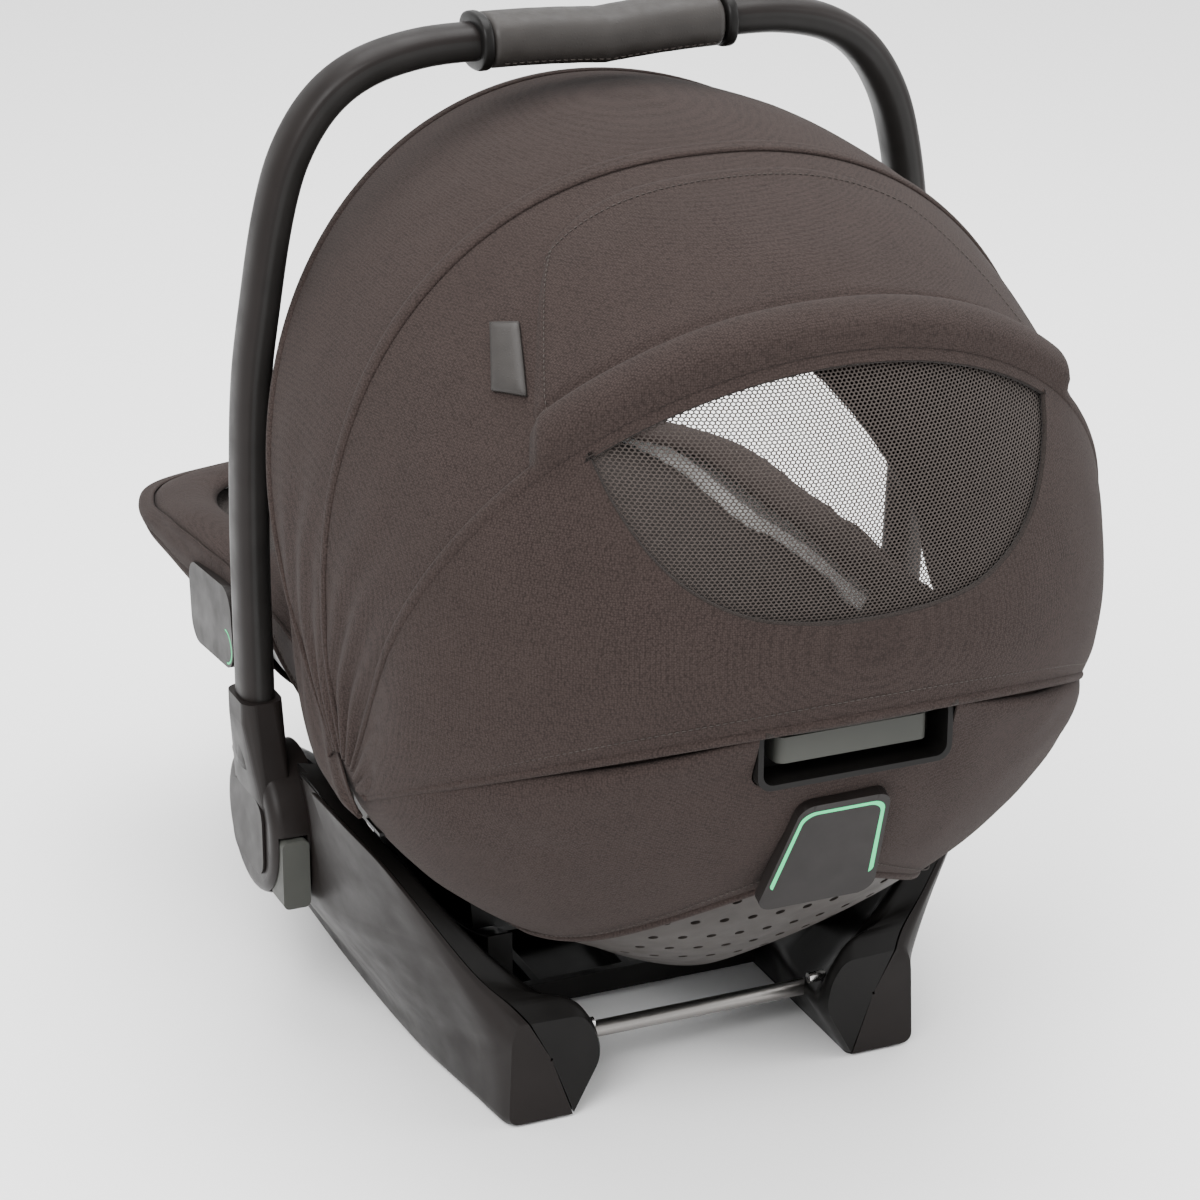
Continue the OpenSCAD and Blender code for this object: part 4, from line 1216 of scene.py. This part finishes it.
def grip():
    """Stitched leather sleeve between two plastic collars."""
    rings = []
    for i in range(61):
        x = mix(-GRIP_HALF, GRIP_HALF, i / 60)
        end = min(1.0, (GRIP_HALF - abs(x)) / 3.0)
        swell = 5.8 * math.sqrt(max(1 - (1 - end) ** 2, 0))
        rings.append(grip_ring(x, 3.2 + swell + 0.25 * lumps((x, 0, 0), 9, 1)))
    sleeve = loft_mesh("grip_leather_sleeve", rings)
    dress(sleeve, "handle", "grip_leather", ["grip_sleeve"])
    for k, s in enumerate((-1, 1)):
        stops = ((GRIP_HALF + 0.3, 8.0), (GRIP_HALF + 0.9, 10.4), (GRIP_HALF + 2, 11), (GRIP_HALF + 4.8, 11),
                 (GRIP_HALF + 5.9, 10.4), (GRIP_HALF + 6.5, 8.0), (GRIP_HALF + 6.5, 1.0))
        collar = loft_mesh(f"grip_collar_{k + 1}", [grip_ring(s * x, grow) for x, grow in stops])
        dress(collar, "handle", "black_plastic", ["grip_rings"] if k == 0 else ())
    seam = [np.array(grip_ring(x, 9.3)[36]) for x in np.linspace(-62, 62, 50)]
    sew("grip_stitches", seam, [np.array([0, -1, -0.8])] * len(seam), "handle", "grip_leather", 4.2, 2.9)


def kept_nodes():
    """CAD nodes whose own shape stays: they get their record slot's material and softened edges."""
    slots = {part["node"]: part["material_slot"] for part in frame["record"]["subparts"]}
    for name, node in frame["nodes"].items():
        if not node.hide_render:
            paint(node, MATERIALS[slots[name]])
            soften(node, 0.9 if "hub_left" in name or "hub_right" in name else 0.45)


# ---- stage ----
def area_light(name, place, target, size, power_w):
    data = bpy.data.lights.new(name, "AREA")
    data.shape, data.size, data.energy = "SQUARE", size, power_w
    lamp = bpy.data.objects.new(name, data)
    bpy.context.scene.collection.objects.link(lamp)
    lamp.location = place
    lamp.rotation_euler = (Vector(target) - Vector(place)).to_track_quat("-Z", "Y").to_euler()
    return lamp


def stage():
    half = 9000
    corners = [(-half, -half, 0), (half, -half, 0), (half, half, 0), (-half, half, 0)]
    floor = finish_mesh("studio_floor", corners, [(0, 1, 2, 3)])
    s = Shader("studio_paper", (0.93, 0.93, 0.93), 0.7, Specular_IOR_Level=0.2)
    paint(floor, s.material)
    lights = [area_light("key_light", (-1.6, -1.7, 2.4), (0, 0, 0.25), 1.6, 120),
              area_light("fill_light", (2.2, -1.2, 1.4), (0, 0, 0.25), 1.8, 40),
              area_light("top_light", (0.2, 0.4, 2.6), (0, 0, 0.2), 2.2, 95)]
    world = bpy.data.worlds.new("studio")
    world.use_nodes = True
    world.node_tree.nodes["Background"].inputs["Color"].default_value = (1, 1, 1, 1)
    world.node_tree.nodes["Background"].inputs["Strength"].default_value = 1.6
    bpy.context.scene.world = world


def camera():
    data = bpy.data.cameras.new("camera")
    data.lens, data.sensor_width = 112.0, 36.0
    data.shift_x, data.shift_y = 0.0106, 0.0080
    view = bpy.data.objects.new("camera", data)
    bpy.context.scene.collection.objects.link(view)
    place, target = Vector((-0.7893, -1.8378, 1.0292)), Vector((-0.008, -0.0171, 0.2288))
    view.location = place
    view.rotation_euler = (target - place).to_track_quat("-Z", "Y").to_euler()
    data.clip_start, data.clip_end = 0.05, 60
    bpy.context.scene.camera = view


canopy_panels()
canopy_bands()
canopy_edges()
visor_corners()
rear_panel()
window_net()
window_flap()
label_tab()
shell_skin()
shell_fabric()
vent_panel()
foot_fabric()
rim_fabric()
recess_bezel()
cushions()
harness()
rails()
handle_tube()
grip()
kept_nodes()
stage()
camera()
